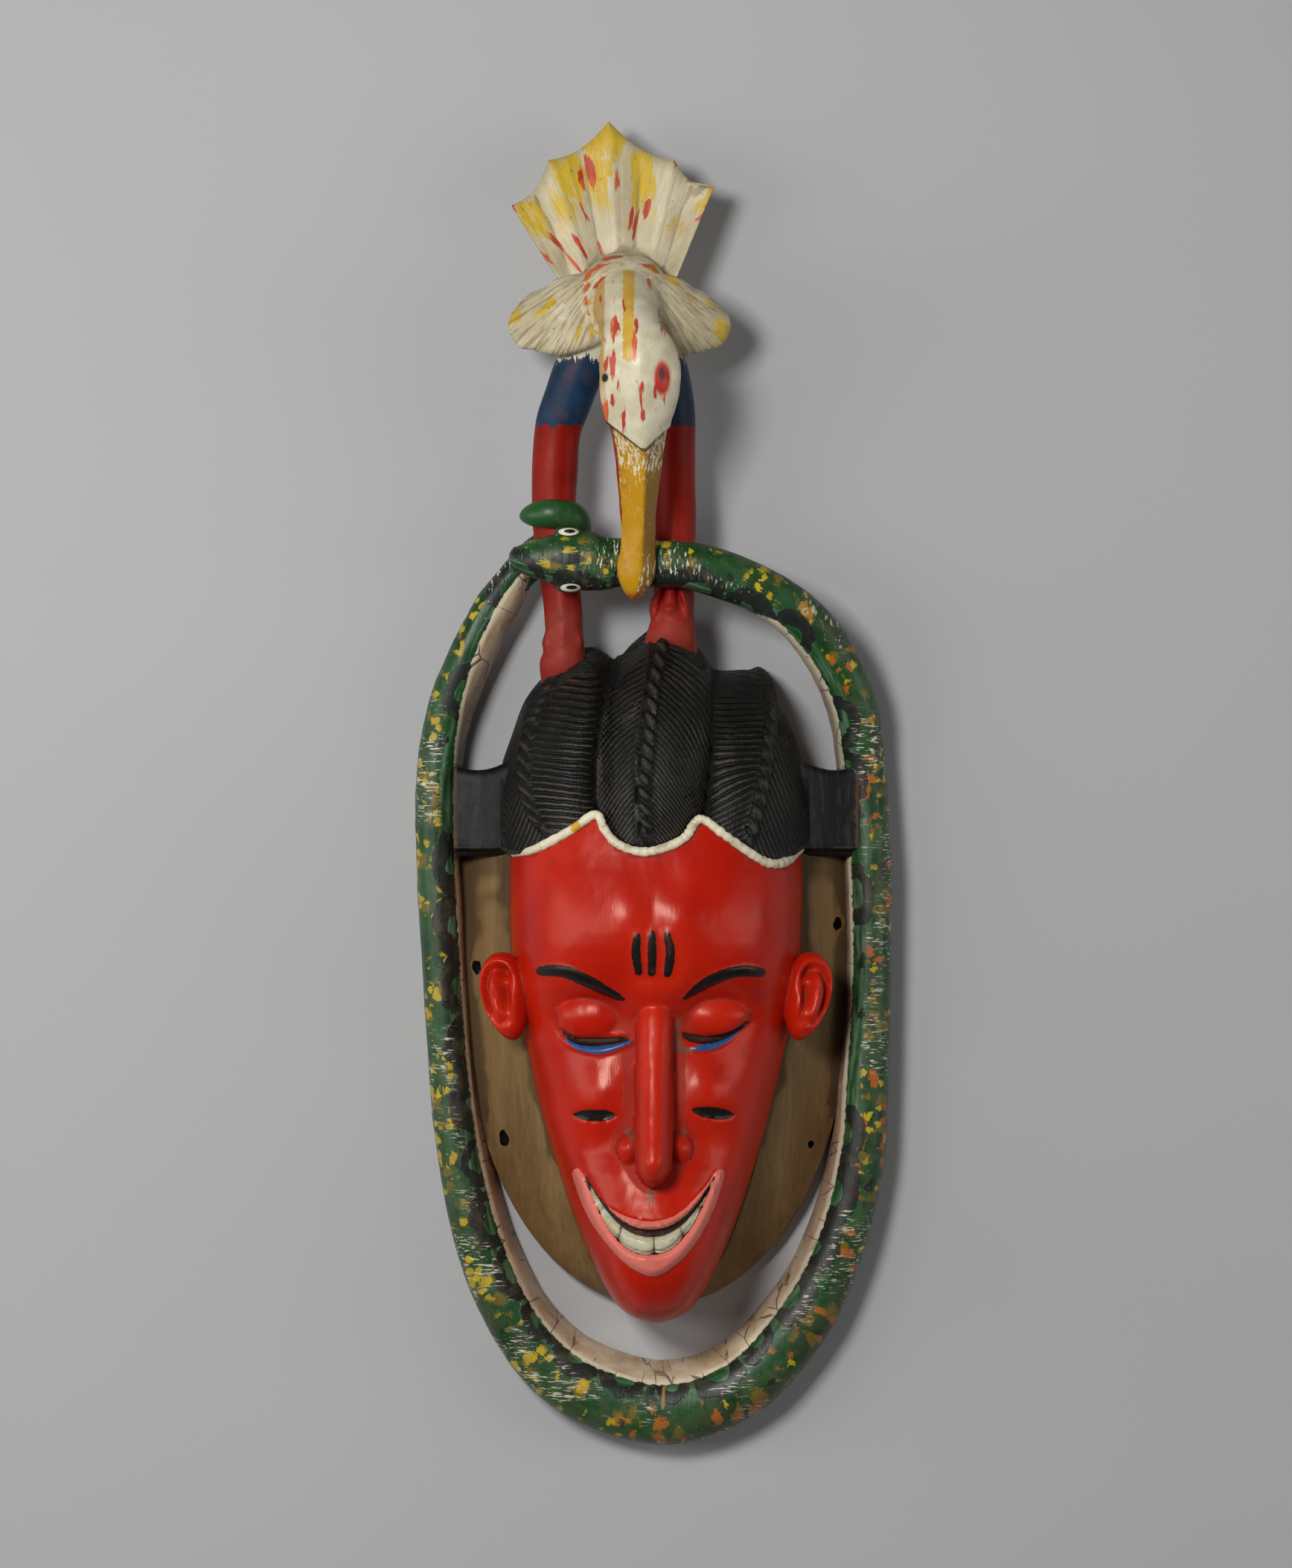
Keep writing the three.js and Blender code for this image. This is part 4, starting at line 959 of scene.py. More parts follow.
def snake_map(points):
    """Distance along the snake in mm, angle from its top, depth past its inner edge, and depth on the pale wall."""
    rows = [*SNAKE_HEAD, *RING]
    t = np.linspace(0, 1, 700)
    middle, first, second, sizes = path_frame(rows, UP, t)
    travel = np.concatenate([[0], np.cumsum(np.linalg.norm(np.diff(middle, axis=0), axis=1))])
    best = np.full(len(points), 1e9)
    nearest = np.zeros(len(points), int)
    for k in range(0, len(t), 50):
        gap = ((points[:, None, :2] - middle[None, k:k + 50, :2]) ** 2).sum(-1)
        gap += 0.25 * (points[:, None, 2] - middle[None, k:k + 50, 2]) ** 2
        local = gap.argmin(axis=1)
        value = gap[np.arange(len(points)), local]
        better = value < best
        nearest[better], best[better] = local[better] + k, value[better]
    out = points - middle[nearest]
    high = (out * first[nearest]).sum(1)
    across = (out * second[nearest]).sum(1)
    depth, width, _, cream = (sizes[nearest, k] for k in range(4))
    edge = across - width * np.minimum(cream, 1.0)
    low = np.minimum(-0.1 * depth - high, 2 * (across - 4))
    pale = np.where(cream > 1.2, -9, np.maximum(edge, low))
    return travel[nearest], np.arctan2(across / width, high / depth), edge, np.clip(pale, -9, 9)


def head_map(points):
    """Depth inside the skull's paint in mm, and place across the beak from -1 at its left edge to 1."""
    rows = np.array(HEAD[5:], float)[::-1]
    middle = np.interp(points[:, 1], rows[:, 1], rows[:, 0])
    half = np.interp(points[:, 1], rows[:, 1], rows[:, 3])
    depth = np.where(points[:, 1] > 215, 9, skull_depth(points[:, 0], points[:, 1]))
    return np.clip(depth, -9, 9), (points[:, 0] - middle) / half


# ---- Materials ----

def srgb(red, green, blue):
    """Linear colour of 0 to 255 display values."""
    value = np.array([red, green, blue]) / 255
    linear = np.where(value <= 0.04045, value / 12.92, ((value + 0.055) / 1.055) ** 2.4)
    return (*linear.tolist(), 1.0)


class Value:
    """Number, colour or vector in a shader: + - * and / on it add math nodes beside it."""

    def __init__(self, socket):
        self.socket = socket

    def __add__(self, other):
        return calc("ADD", self, other)

    def __sub__(self, other):
        return calc("SUBTRACT", self, other)

    def __mul__(self, other):
        return calc("MULTIPLY", self, other)

    def __truediv__(self, other):
        return calc("DIVIDE", self, other)

    def __radd__(self, other):
        return calc("ADD", other, self)

    def __rsub__(self, other):
        return calc("SUBTRACT", other, self)


def fill(socket, value):
    """Links a Value to a socket, or sets a plain value on it."""
    if isinstance(value, Value):
        socket.id_data.links.new(value.socket, socket)
    else:
        socket.default_value = value


def put(tree, kind, inputs=(), **settings):
    """Adds a node, sets its properties, and fills its inputs by name or number."""
    made = tree.nodes.new(kind)
    for key, value in settings.items():
        setattr(made, key, value)
    for key, value in dict(inputs).items():
        fill(made.inputs[key], value)
    return made


def add(kind, inputs, output=0, **settings):
    """Output of a new node, in the shader of its first linked input; "all" gives a list of its outputs."""
    tree = next(value.socket.id_data for value in inputs.values() if isinstance(value, Value))
    outputs = put(tree, kind, inputs, **settings).outputs
    return [Value(socket) for socket in outputs] if output == "all" else Value(outputs[output])


def calc(operation, *values, clamp=False):
    """Output of a math node."""
    return add("ShaderNodeMath", dict(enumerate(values)), operation=operation, use_clamp=clamp)


def split(place):
    """The three numbers of a vector."""
    return add("ShaderNodeSeparateXYZ", {0: place}, "all")


def join(x, y, z):
    """Vector of three numbers."""
    return add("ShaderNodeCombineXYZ", {0: x, 1: y, 2: z})


def tint(factor, first, second):
    """Mix of two colours: the first at factor 0, the second at 1."""
    return add("ShaderNodeMix", {0: factor, 6: first, 7: second}, 2, data_type="RGBA")


def ramp(value, low, high):
    """Smooth step of a value, 0 at low and 1 at high."""
    return add("ShaderNodeMapRange", {0: value, 1: low, 2: high}, interpolation_type="SMOOTHSTEP")


def noise(vector, scale, detail=2.0, rough=0.5, distort=0.0):
    """Noise from 0 to 1 about 0.5."""
    inputs = {"Vector": vector, "Scale": scale, "Detail": detail, "Roughness": rough, "Distortion": distort}
    return add("ShaderNodeTexNoise", inputs)


def stretch(vector, x, y, z):
    """Vector times (x, y, z)."""
    return add("ShaderNodeVectorMath", {0: vector, 1: (x, y, z)}, operation="MULTIPLY")


def new_group(name, inputs, outputs):
    """Empty node group with named sockets; a default of four numbers makes a colour, three a vector."""
    tree = bpy.data.node_groups.new(name, "ShaderNodeTree")
    kinds = {4: "NodeSocketColor", 3: "NodeSocketVector"}
    for key, default in inputs.items():
        kind = kinds[len(default)] if isinstance(default, tuple) else "NodeSocketFloat"
        socket = tree.interface.new_socket(key, in_out="INPUT", socket_type=kind)
        socket.default_value = default
    for key, kind in outputs.items():
        tree.interface.new_socket(key, in_out="OUTPUT", socket_type=kind)
    given = {socket.name: Value(socket) for socket in tree.nodes.new("NodeGroupInput").outputs if socket.name}
    return tree, given, tree.nodes.new("NodeGroupOutput").inputs


def use(group, **inputs):
    """Outputs by name of a node group placed with its inputs, whose names take spaces for underscores."""
    named = {key.replace("_", " "): value for key, value in inputs.items()}
    outputs = add("ShaderNodeGroup", named, "all", node_tree=group)
    return {value.socket.name: value for value in outputs}


def aged_paint():
    """Hand paint on carved wood: brush marks, uneven tone, darkening in hollows, stains, specks, and wear on proud
    places.
    """
    tree, given, out = new_group("aged_paint", {
        "Color": (0.5, 0.5, 0.5, 1.0), "Dirt Color": (0.03, 0.02, 0.012, 1.0), "Wear Color": (0.2, 0.14, 0.09, 1.0),
        "Place": (0.0, 0.0, 0.0), "Hollow": 0.0, "Dirt": 0.5, "Wear": 0.3, "Gloss": 0.3, "Tone": 0.25,
    }, {"Color": "NodeSocketColor", "Roughness": "NodeSocketFloat", "Height": "NodeSocketFloat"})
    place = given["Place"]
    cloud = noise(place, 26, 3, 0.55)
    patch = noise(place, 85, 4, 0.6, 0.4)
    brush = noise(stretch(place, 900, 120, 900), 1.0, 3, 0.6)
    grit = noise(place, 900, 2, 0.6)
    light = (cloud - 0.5) * (given["Tone"] * 2.4)
    fine = (brush - 0.5) * given["Tone"]
    value = light + fine + 1.0
    toned = add("ShaderNodeHueSaturation", {"Value": value, "Color": given["Color"]})
    hollow = given["Hollow"]
    # darker where the carving is sunk, by how sunk it is
    sunk = ramp(hollow + (patch - 0.5) * 0.5, 0.12, 0.7)
    stain = ramp(patch, 0.60, 0.80) * 0.45
    speck = ramp(grit, 0.70, 0.76) * 0.6
    soil = calc("MAXIMUM", calc("MAXIMUM", sunk, stain), speck)
    dirty = tint(calc("MULTIPLY", soil, given["Dirt"], clamp=True), toned, given["Dirt Color"])
    proud = hollow * -1.0
    rub = ramp(proud + (patch - 0.52) * 1.5, 0.35, 0.62)
    worn = calc("MULTIPLY", rub, given["Wear"], clamp=True)
    fill(out["Color"], tint(worn, dirty, given["Wear Color"]))
    rough = given["Gloss"] + soil * 0.3
    rough = rough + worn * 0.35
    rough = calc("ADD", rough, (cloud - 0.5) * 0.25, clamp=True)
    fill(out["Roughness"], rough)
    height = brush * 0.6 + patch * 0.4
    fill(out["Height"], height - worn * 0.8)
    return tree


def paint_daubs():
    """Dabs of a loaded brush: warped cells, of which a seeded share is painted, with bristle ends."""
    tree, given, out = new_group("paint_daubs", {
        "Place": (0.0, 0.0, 0.0), "Density": 0.3, "Fill": 0.5, "Bristle": 0.25, "Seed": 0.0,
    }, {"Mask": "NodeSocketFloat"})
    seed = given["Seed"]
    place = add("ShaderNodeVectorMath", {0: given["Place"], 1: join(seed, seed, seed)}, operation="ADD")
    warp = add("ShaderNodeTexNoise", {"Vector": place, "Scale": 1.3, "Detail": 2.0}, "Color")
    bent = add("ShaderNodeVectorMath", {0: warp, 1: (0.5, 0.5, 0.5)}, operation="SUBTRACT")
    bent = add("ShaderNodeVectorMath", {0: bent, 1: (0.9, 0.9, 0.9), 2: place}, operation="MULTIPLY_ADD")
    away, colour, *_ = add("ShaderNodeTexVoronoi", {"Vector": bent, "Scale": 1.0, "Randomness": 0.9}, "all")
    chance = add("ShaderNodeSeparateColor", {0: colour})
    chosen = calc("LESS_THAN", chance, given["Density"])
    bristle = noise(stretch(place, 9, 1.6, 9), 1.0, 3, 0.7)
    edge = away + (bristle - 0.5) * (given["Bristle"] * 4.0)
    body = ramp(edge, given["Fill"], given["Fill"] - 0.06)
    fill(out["Mask"], body * chosen)
    return tree


AGED = aged_paint()
DAUBS = paint_daubs()


def start(name, glint=0.34, glint_color=(1.0, 1.0, 1.0, 1.0)):
    """New material: the material, Object coordinates, and how sunk the carving is there."""
    made = bpy.data.materials.new(name)
    made.use_nodes = True
    shader = made.node_tree.nodes["Principled BSDF"]
    shader.inputs["Specular IOR Level"].default_value = glint
    shader.inputs["Specular Tint"].default_value = glint_color
    fine, broad, _ = read(made, "relief_map")
    return made, coordinates(made), fine + broad


def coordinates(made):
    """Object coordinates in a material."""
    return Value(put(made.node_tree, "ShaderNodeTexCoord").outputs["Object"])


def read(made, name):
    """The three numbers of a vector attribute in a material."""
    node = put(made.node_tree, "ShaderNodeAttribute", attribute_name=name, attribute_type="GEOMETRY")
    return split(Value(node.outputs["Vector"]))


def finish_paint(made, place, hollow, colour, strength, depth, extra=None, **coat):
    """Ages a colour and wires it into the material, with brush marks and anything extra as a low bump."""
    layer = use(AGED, Color=colour, Place=place, Hollow=hollow, **coat)
    raised = layer["Height"] if extra is None else layer["Height"] + extra
    shader = made.node_tree.nodes["Principled BSDF"]
    fill(shader.inputs["Base Color"], layer["Color"])
    fill(shader.inputs["Roughness"], layer["Roughness"])
    bump = {"Strength": strength, "Distance": depth, "Height": raised}
    fill(shader.inputs["Normal"], add("ShaderNodeBump", bump))
    return made


def speckle(place, size, low, high):
    """Mask of small irregular spots about size metres across."""
    return ramp(noise(place, 1 / size, 2, 0.6), low, high)


def oval_mask(place, middle, half, soft=0.12):
    """Mask of an upright oval in the plan, in metres."""
    x, y, _ = split(place)
    u = (x - middle[0]) / half[0]
    v = (y - middle[1]) / half[1]
    reach = calc("SQRT", u * u + v * v)
    return ramp(reach, 1 + soft, 1 - soft)


def face_paint():
    """Red enamel with the black, blue, pink and ivory marks of the face, each edged a little unevenly."""
    made, place, hollow = start("face_enamel", glint_color=(1.0, 0.74, 0.60, 1.0))
    black, blue, lips = read(made, "mark_map")
    teeth, worn, gap = read(made, "mouth_map")
    ragged = (noise(place, 420, 3, 0.6) - 0.5) * 1.9
    def mask(depth, low=-0.16, high=0.16, wobble=1.0):
        moved = depth + ragged * wobble
        return ramp(moved, low, high)
    worn_mask = mask(worn, -0.9, 0.9, 2.0) * 0.8
    red = tint(ramp(noise(place, 13, 2), 0.35, 0.65), srgb(176, 20, 4), srgb(190, 32, 9))
    stain = ramp(noise(place, 38, 4, 0.6, 0.6), 0.60, 0.76)
    red = tint(stain * 0.32, red, srgb(96, 22, 10))
    pink = tint(noise(place, 60, 3), srgb(216, 104, 92), srgb(230, 128, 114))
    colour = tint(mask(lips, wobble=0.5), red, pink)
    sky = tint(noise(place, 200, 3), srgb(18, 58, 104), srgb(40, 96, 156))
    colour = tint(mask(blue, wobble=0.6), colour, sky)
    ink = tint(noise(place, 240, 3), srgb(12, 12, 13), srgb(30, 28, 26))
    colour = tint(mask(black, wobble=0.8), colour, ink)
    ivory = tint(noise(place, 120, 4), srgb(186, 181, 148), srgb(208, 204, 176))
    ivory = tint(speckle(place, 0.003, 0.60, 0.72) * 0.5, ivory, srgb(150, 138, 96))
    line = ramp(gap, -0.2, 0.3) * 0.85
    ivory = tint(line, ivory, srgb(84, 70, 44))
    colour = tint(mask(teeth, wobble=0.35), colour, ivory)
    colour = tint(worn_mask, colour, tint(noise(place, 150, 3), srgb(84, 66, 50), srgb(136, 98, 78)))
    return finish_paint(made, place, hollow, colour, 0.35, 0.00035, Dirt=0.30, Wear=0.10, Gloss=0.31, Tone=0.10,
                        Dirt_Color=srgb(70, 18, 9), Wear_Color=srgb(170, 76, 56))


def hair_paint():
    """Black paint gone brown on the tops of the strands, with painted shade in the grooves and the plaits' creases,
    and shinier plaits.
    """
    made, place, hollow = start("hair_black", 0.24)
    phase, depth, plait = read(made, "strand_map")
    wave = calc("COSINE", phase * (2 * np.pi))
    groove = calc("MULTIPLY", ramp(wave, 0.0, 0.95), depth, clamp=True)
    crown = calc("MULTIPLY", ramp(wave, -0.5, -1.0), depth, clamp=True)
    dust = noise(place, 30, 3, 0.6)
    streak = noise(stretch(place, 260, 700, 300), 1.0, 3, 0.65)
    worn = ramp(dust + streak * 0.5, 0.62, 0.98)
    brown = crown * worn
    colour = tint(streak, srgb(15, 14, 12), srgb(29, 27, 23))
    colour = tint(brown * 0.85, colour, srgb(88, 80, 58))
    # painted shade: the grooves between the strands are painted near black
    colour = tint(groove * 0.85, colour, srgb(9, 8, 8))
    # painted shade: the creases between the turns of each plait are painted near black
    sides = ramp(plait, 0.35, 0.02) * ramp(plait, -0.4, -0.2)
    colour = tint(sides * 0.8, colour, srgb(9, 8, 8))
    return finish_paint(made, place, hollow, colour, 0.9, 0.0009, groove * -1.0, Dirt=0.5, Wear=0.4, Gloss=0.40,
                        Tone=0.3, Dirt_Color=srgb(12, 11, 10), Wear_Color=srgb(80, 73, 57))


def cream_bead():
    """Cream bead: thick, grubby paint with a yellow touch here and there."""
    made, place, hollow = start("bead_cream")
    colour = tint(ramp(noise(place, 34, 1), 0.66, 0.70), srgb(222, 212, 184), srgb(206, 160, 40))
    colour = tint(speckle(place, 0.006, 0.52, 0.70) * 0.5, colour, srgb(150, 124, 92))
    return finish_paint(made, place, hollow, colour, 0.8, 0.0008, Dirt=0.8, Wear=0.2, Gloss=0.45, Tone=0.22,
                        Dirt_Color=srgb(96, 70, 46), Wear_Color=srgb(160, 130, 96))


def block_black():
    """Black paint brushed out along the blocks and scuffed to grey, with brown glue at the joint to the ring and a
    painted shadow along the foot.
    """
    made, place, hollow = start("block_black", 0.22)
    scrape = noise(stretch(place, 420, 46, 200), 1.0, 4, 0.7)
    rub = ramp(scrape + noise(place, 40, 3) * 0.45, 0.70, 0.94)
    colour = tint(rub * 0.6, srgb(13, 12, 12), srgb(54, 54, 56))
    x, y, _ = split(place)
    wander = (noise(place, 120, 3, 0.6) - 0.5) * 0.007
    joint = calc("ABSOLUTE", x - 0.001) + wander
    colour = tint(ramp(joint, 0.1115, 0.1130) * 0.8, colour, srgb(84, 56, 32))
    # painted shadow: a dark band along the foot of each block, where it stands over the collar
    under = ramp(y + wander * 0.5, -0.0365, -0.0385)
    colour = tint(under * 0.85, colour, srgb(16, 13, 11))
    return finish_paint(made, place, hollow, colour, 0.5, 0.0006, scrape, Dirt=0.5, Wear=0.4, Gloss=0.46, Tone=0.3,
                        Dirt_Color=srgb(14, 12, 11), Wear_Color=srgb(92, 74, 56))


def bare_wood(name, light, dark, gloss):
    """Unpainted wood: streaks of grain along y, pores, stains and a handled sheen."""
    made, place, hollow = start(name)
    bend = add("ShaderNodeTexNoise", {"Vector": place, "Scale": 9.0, "Detail": 2.0}, "Color")
    bent = add("ShaderNodeVectorMath", {0: bend, 1: (0.012, 0.012, 0.012), 2: place}, operation="MULTIPLY_ADD")
    grain = noise(stretch(bent, 420, 9, 220), 1.0, 4, 0.6)
    band = noise(stretch(bent, 60, 3.0, 36), 1.0, 3, 0.5)
    pore = ramp(noise(stretch(bent, 1100, 90, 700), 1.0, 2, 0.5), 0.62, 0.74)
    both = grain * 0.45 + band * 0.75
    colour = tint(ramp(both, 0.38, 0.82), dark, light)
    colour = tint(pore * 0.3, colour, srgb(50, 36, 20))
    return finish_paint(made, place, hollow, colour, 0.35, 0.0004, grain * 0.8, Dirt=0.6, Wear=0.15, Gloss=gloss,
                        Tone=0.14, Dirt_Color=srgb(46, 33, 20), Wear_Color=srgb(140, 112, 78))


def snake_paint():
    """Green body with dabs of yellow, ochre and orange, black scallops by the inner edge, and a pale inner wall."""
    made, place, hollow = start("snake_green")
    travel, angle, edge = read(made, "snake_map")
    pale = read(made, "relief_map")[2]
    body = join(angle * 13.0, travel, 0.0)
    shade = noise(stretch(body, 0.06, 0.03, 1), 1.0, 4, 0.6)
    colour = tint(ramp(shade, 0.3, 0.7), srgb(15, 52, 20), srgb(33, 80, 37))
    # painted reflection: pale grey-green sheen streaked along the slanted inner strip of the green front
    sheen = noise(stretch(body, 0.35, 0.03, 1), 1.0, 4, 0.6)
    painted_sheen_band = ramp(edge, -8.5, -6.0) * ramp(edge, 0.5, -0.5)
    colour = tint(painted_sheen_band * ramp(sheen, 0.42, 0.66) * 0.6, colour, srgb(108, 140, 114))
    x, y, _ = split(place)
    outer = ramp(edge + shade * 6.0, -3.0, -6.5)
    def dab(wide, long, density, fill, bristle, seed):
        vector = stretch(body, 1 / wide, 1 / long, 1)
        return use(DAUBS, Place=vector, Density=density, Fill=fill, Bristle=bristle, Seed=seed)["Mask"]
    cluster = ramp(noise(stretch(body, 0.04, 0.045, 1), 1.0, 1), 0.42, 0.52)
    warm = outer * cluster
    colour = tint(dab(10, 8, 0.42, 0.50, 0.20, 3.1) * warm * 0.85, colour, srgb(122, 98, 22))
    right = ramp(x + y * -0.25, 0.02, 0.10)
    ochre = tint(right, srgb(186, 156, 16), srgb(178, 92, 26))
    colour = tint(dab(8, 6.5, 0.46, 0.46, 0.20, 7.7) * warm * 0.9, colour, ochre)
    colour = tint(dab(6, 5, 0.30, 0.40, 0.20, 12.3) * warm * 0.9, colour, srgb(200, 172, 20))
    # black scallops: arcs about a point on the inner edge of each stretch, and leaf-shaped blobs
    wobble = (noise(place, 110, 2) - 0.5) * 7.0
    step = 34.0
    share = travel / step + 0.35
    cell = calc("FLOOR", share)
    local = (calc("FRACT", share) - 0.5) * (step / 1.5)
    chance = add("ShaderNodeTexWhiteNoise", {"W": cell}, "Color", noise_dimensions="1D")
    c1, c2, c3 = add("ShaderNodeSeparateColor", {0: chance}, "all")
    radius = c1 * 4.0 + 6.5
    away = calc("SQRT", local * local + edge * edge)
    arc = calc("ABSOLUTE", away - radius + wobble)
    thick = c2 * 2.6 + 2.2
    arc = ramp(arc - thick, 0.4, -0.2) * calc("GREATER_THAN", c3, 0.30)
    leaf = dab(8, 13, 0.42, 0.42, 0.06, 21.4) * calc("LESS_THAN", c3, 0.62)
    leaf = leaf * ramp(edge, -11.0, -8.5)
    black = calc("MAXIMUM", arc, leaf) * ramp(edge, 0.6, 0.0)
    stray = dab(7, 9, 0.14, 0.36, 0.14, 33.0) * outer
    black = calc("MAXIMUM", black, stray)
    colour = tint(black * 0.95, colour, tint(noise(place, 200, 3), srgb(14, 15, 15), srgb(38, 40, 37)))
    # white hatching: short level strokes in patches
    hatch = noise(stretch(place, 150, 950, 150), 1.0, 3, 0.62)
    steep = noise(stretch(place, 800, 190, 150), 1.0, 3, 0.62)
    upper = ramp(y, 0.06, 0.10)
    hatch = hatch * (1.0 - upper) + steep * upper
    patch = ramp(noise(place, 21, 2, 0.5), 0.50, 0.58)
    rim_patch = patch * ramp(edge, -5.0, -9.0)
    white = ramp(hatch, 0.565, 0.61) * rim_patch
    scuff = ramp(noise(place, 520, 3, 0.7), 0.66, 0.70) * ramp(noise(place, 30, 2), 0.5, 0.6)
    white = calc("MAXIMUM", white, scuff * 0.8)
    colour = tint(white * 0.92, colour, srgb(214, 212, 190))
    # head: white eyes with black pupils, and a black crown
    for middle in ((-0.0473, 0.1408), (-0.0462, 0.1096)):
        colour = tint(oval_mask(place, middle, (0.0067, 0.0030)), colour, srgb(16, 18, 14))
        colour = tint(oval_mask(place, middle, (0.0056, 0.0022)), colour, srgb(214, 208, 184))
        pupil = (middle[0] + 0.0006, middle[1] + 0.0002)
        colour = tint(oval_mask(place, pupil, (0.0032, 0.0011)), colour, srgb(14, 14, 14))
    colour = tint(oval_mask(place, (-0.0472, 0.1255), (0.0105, 0.0032), 0.2), colour, srgb(20, 22, 20))
    # pale inner wall with a bright edge line, grime and hairline cracks across it
    ragged = (noise(place, 260, 3, 0.6) - 0.5) * 2.6
    depth = pale + ragged
    inner = ramp(depth, -0.25, 0.25)
    grime = noise(stretch(body, 0.10, 0.03, 1), 1.0, 4, 0.62)
    level = ramp(y, -0.20, -0.30)
    high = ramp(y, 0.02, 0.08)
    clean = tint(calc("MAXIMUM", level, high), srgb(180, 144, 122), srgb(220, 200, 168))
    soiled = tint(calc("MAXIMUM", level, high), srgb(132, 96, 78), srgb(180, 148, 114))
    wall = tint(ramp(grime, 0.38, 0.68), clean, soiled)
    wall = tint(ramp(pale + grime * 1.5, 3.4, 2.2) * 0.9, wall, srgb(226, 216, 186))
    plates = {"Vector": stretch(body, 0.03, 0.055, 1), "Scale": 1.0}
    lines = add("ShaderNodeTexVoronoi", plates, feature="DISTANCE_TO_EDGE")
    crack = ramp(lines, 0.022, 0.006) * ramp(noise(place, 50, 2), 0.46, 0.56)
    spot = ramp(noise(place, 75, 4, 0.7), 0.60, 0.72)
    wall = tint(calc("MAXIMUM", crack, spot * 0.6) * 0.8, wall, srgb(84, 56, 40))
    colour = tint(inner, colour, wall)
    # one splinter of bare wood at the foot of the ring
    lean = x + y * -0.06
    sliver = calc("ABSOLUTE", lean - 0.0262)
    sliver = ramp(sliver, 0.0010, 0.0006) * ramp(y, -0.3515, -0.3500)
    sliver = sliver * ramp(y, -0.3375, -0.3390)
    grain = noise(stretch(place, 900, 90, 900), 1.0, 3)
    colour = tint(sliver, colour, tint(grain, srgb(128, 84, 42), srgb(176, 130, 76)))
    raised_paint = black * 0.8 + white * 0.5
    raised_paint = raised_paint + crack * inner * -1.5
    return finish_paint(made, place, hollow, colour, 0.5, 0.0006, raised_paint, Dirt=0.45, Wear=0.16, Gloss=0.40,
                        Tone=0.14, Dirt_Color=srgb(22, 20, 13), Wear_Color=srgb(120, 112, 84))


def plain_green():
    """Snake's tail: one coat of green."""
    made, place, hollow = start("tail_green")
    colour = tint(noise(place, 40, 3), srgb(22, 62, 24), srgb(38, 88, 40))
    return finish_paint(made, place, hollow, colour, 0.4, 0.0004, Dirt=0.4, Wear=0.15, Gloss=0.36, Tone=0.16)


def bird_paint(name, root, grubby, yellow, red, ring=False, start_at=(0.0, 0.001)):
    """White bird: cream paint with yellow and red strokes (width, length, density) out from a root, or round it."""
    made, place, hollow = start(name)
    x, y, _ = split(add("ShaderNodeVectorMath", {0: place, 1: root}, operation="SUBTRACT"))
    angle = calc("ARCTAN2", x, y) * 80.0
    reach = calc("SQRT", x * x + y * y)
    across, along_it = (reach * 1000.0, angle) if ring else (angle, reach * 1000.0)
    fan = join(across, along_it, 0.0)
    colour = tint(ramp(noise(place, 38, 4, 0.6), 0.3, 0.7), srgb(186, 173, 138), srgb(212, 200, 168))
    def streak(size, fill, bristle, seed):
        wide, long, density = size
        vector = stretch(fan, 1 / wide, 1 / long, 1)
        return use(DAUBS, Place=vector, Density=density, Fill=fill, Bristle=bristle, Seed=seed)["Mask"]
    edge = reach + (noise(stretch(fan, 0.25, 0.02, 1), 1.0, 2) - 0.5) * 0.03
    patches = streak(yellow, 0.60, 0.22, 2.2) * ramp(edge, *start_at)
    thin = noise(stretch(fan, 0.9, 0.06, 1), 1.0, 3, 0.6)
    patches = patches * ramp(thin, 0.34, 0.42)
    gold = tint(noise(stretch(fan, 0.6, 0.05, 1), 1.0, 3), srgb(192, 154, 6), srgb(218, 182, 18))
    colour = tint(patches * 0.92, colour, gold)
    dashes = streak(red, 0.46, 0.14, 9.4)
    fire = tint(ramp(noise(place, 60), 0.45, 0.6), srgb(180, 40, 16), srgb(206, 84, 20))
    colour = tint(dashes * 0.95, colour, fire)
    smear = ramp(noise(stretch(fan, 0.5, 0.05, 1), 1.0, 4, 0.65), 0.46, 0.62) * grubby
    colour = tint(smear * 0.62, colour, srgb(122, 98, 66))
    spots = speckle(place, 0.0022, 0.68, 0.74) * 0.6
    colour = tint(spots, colour, srgb(96, 80, 52))
    return finish_paint(made, place, hollow, colour, 0.5, 0.0006, Dirt=0.35 + 0.5 * grubby, Wear=0.1, Gloss=0.42,
                        Tone=0.10, Dirt_Color=srgb(92, 78, 52), Wear_Color=srgb(150, 124, 88))


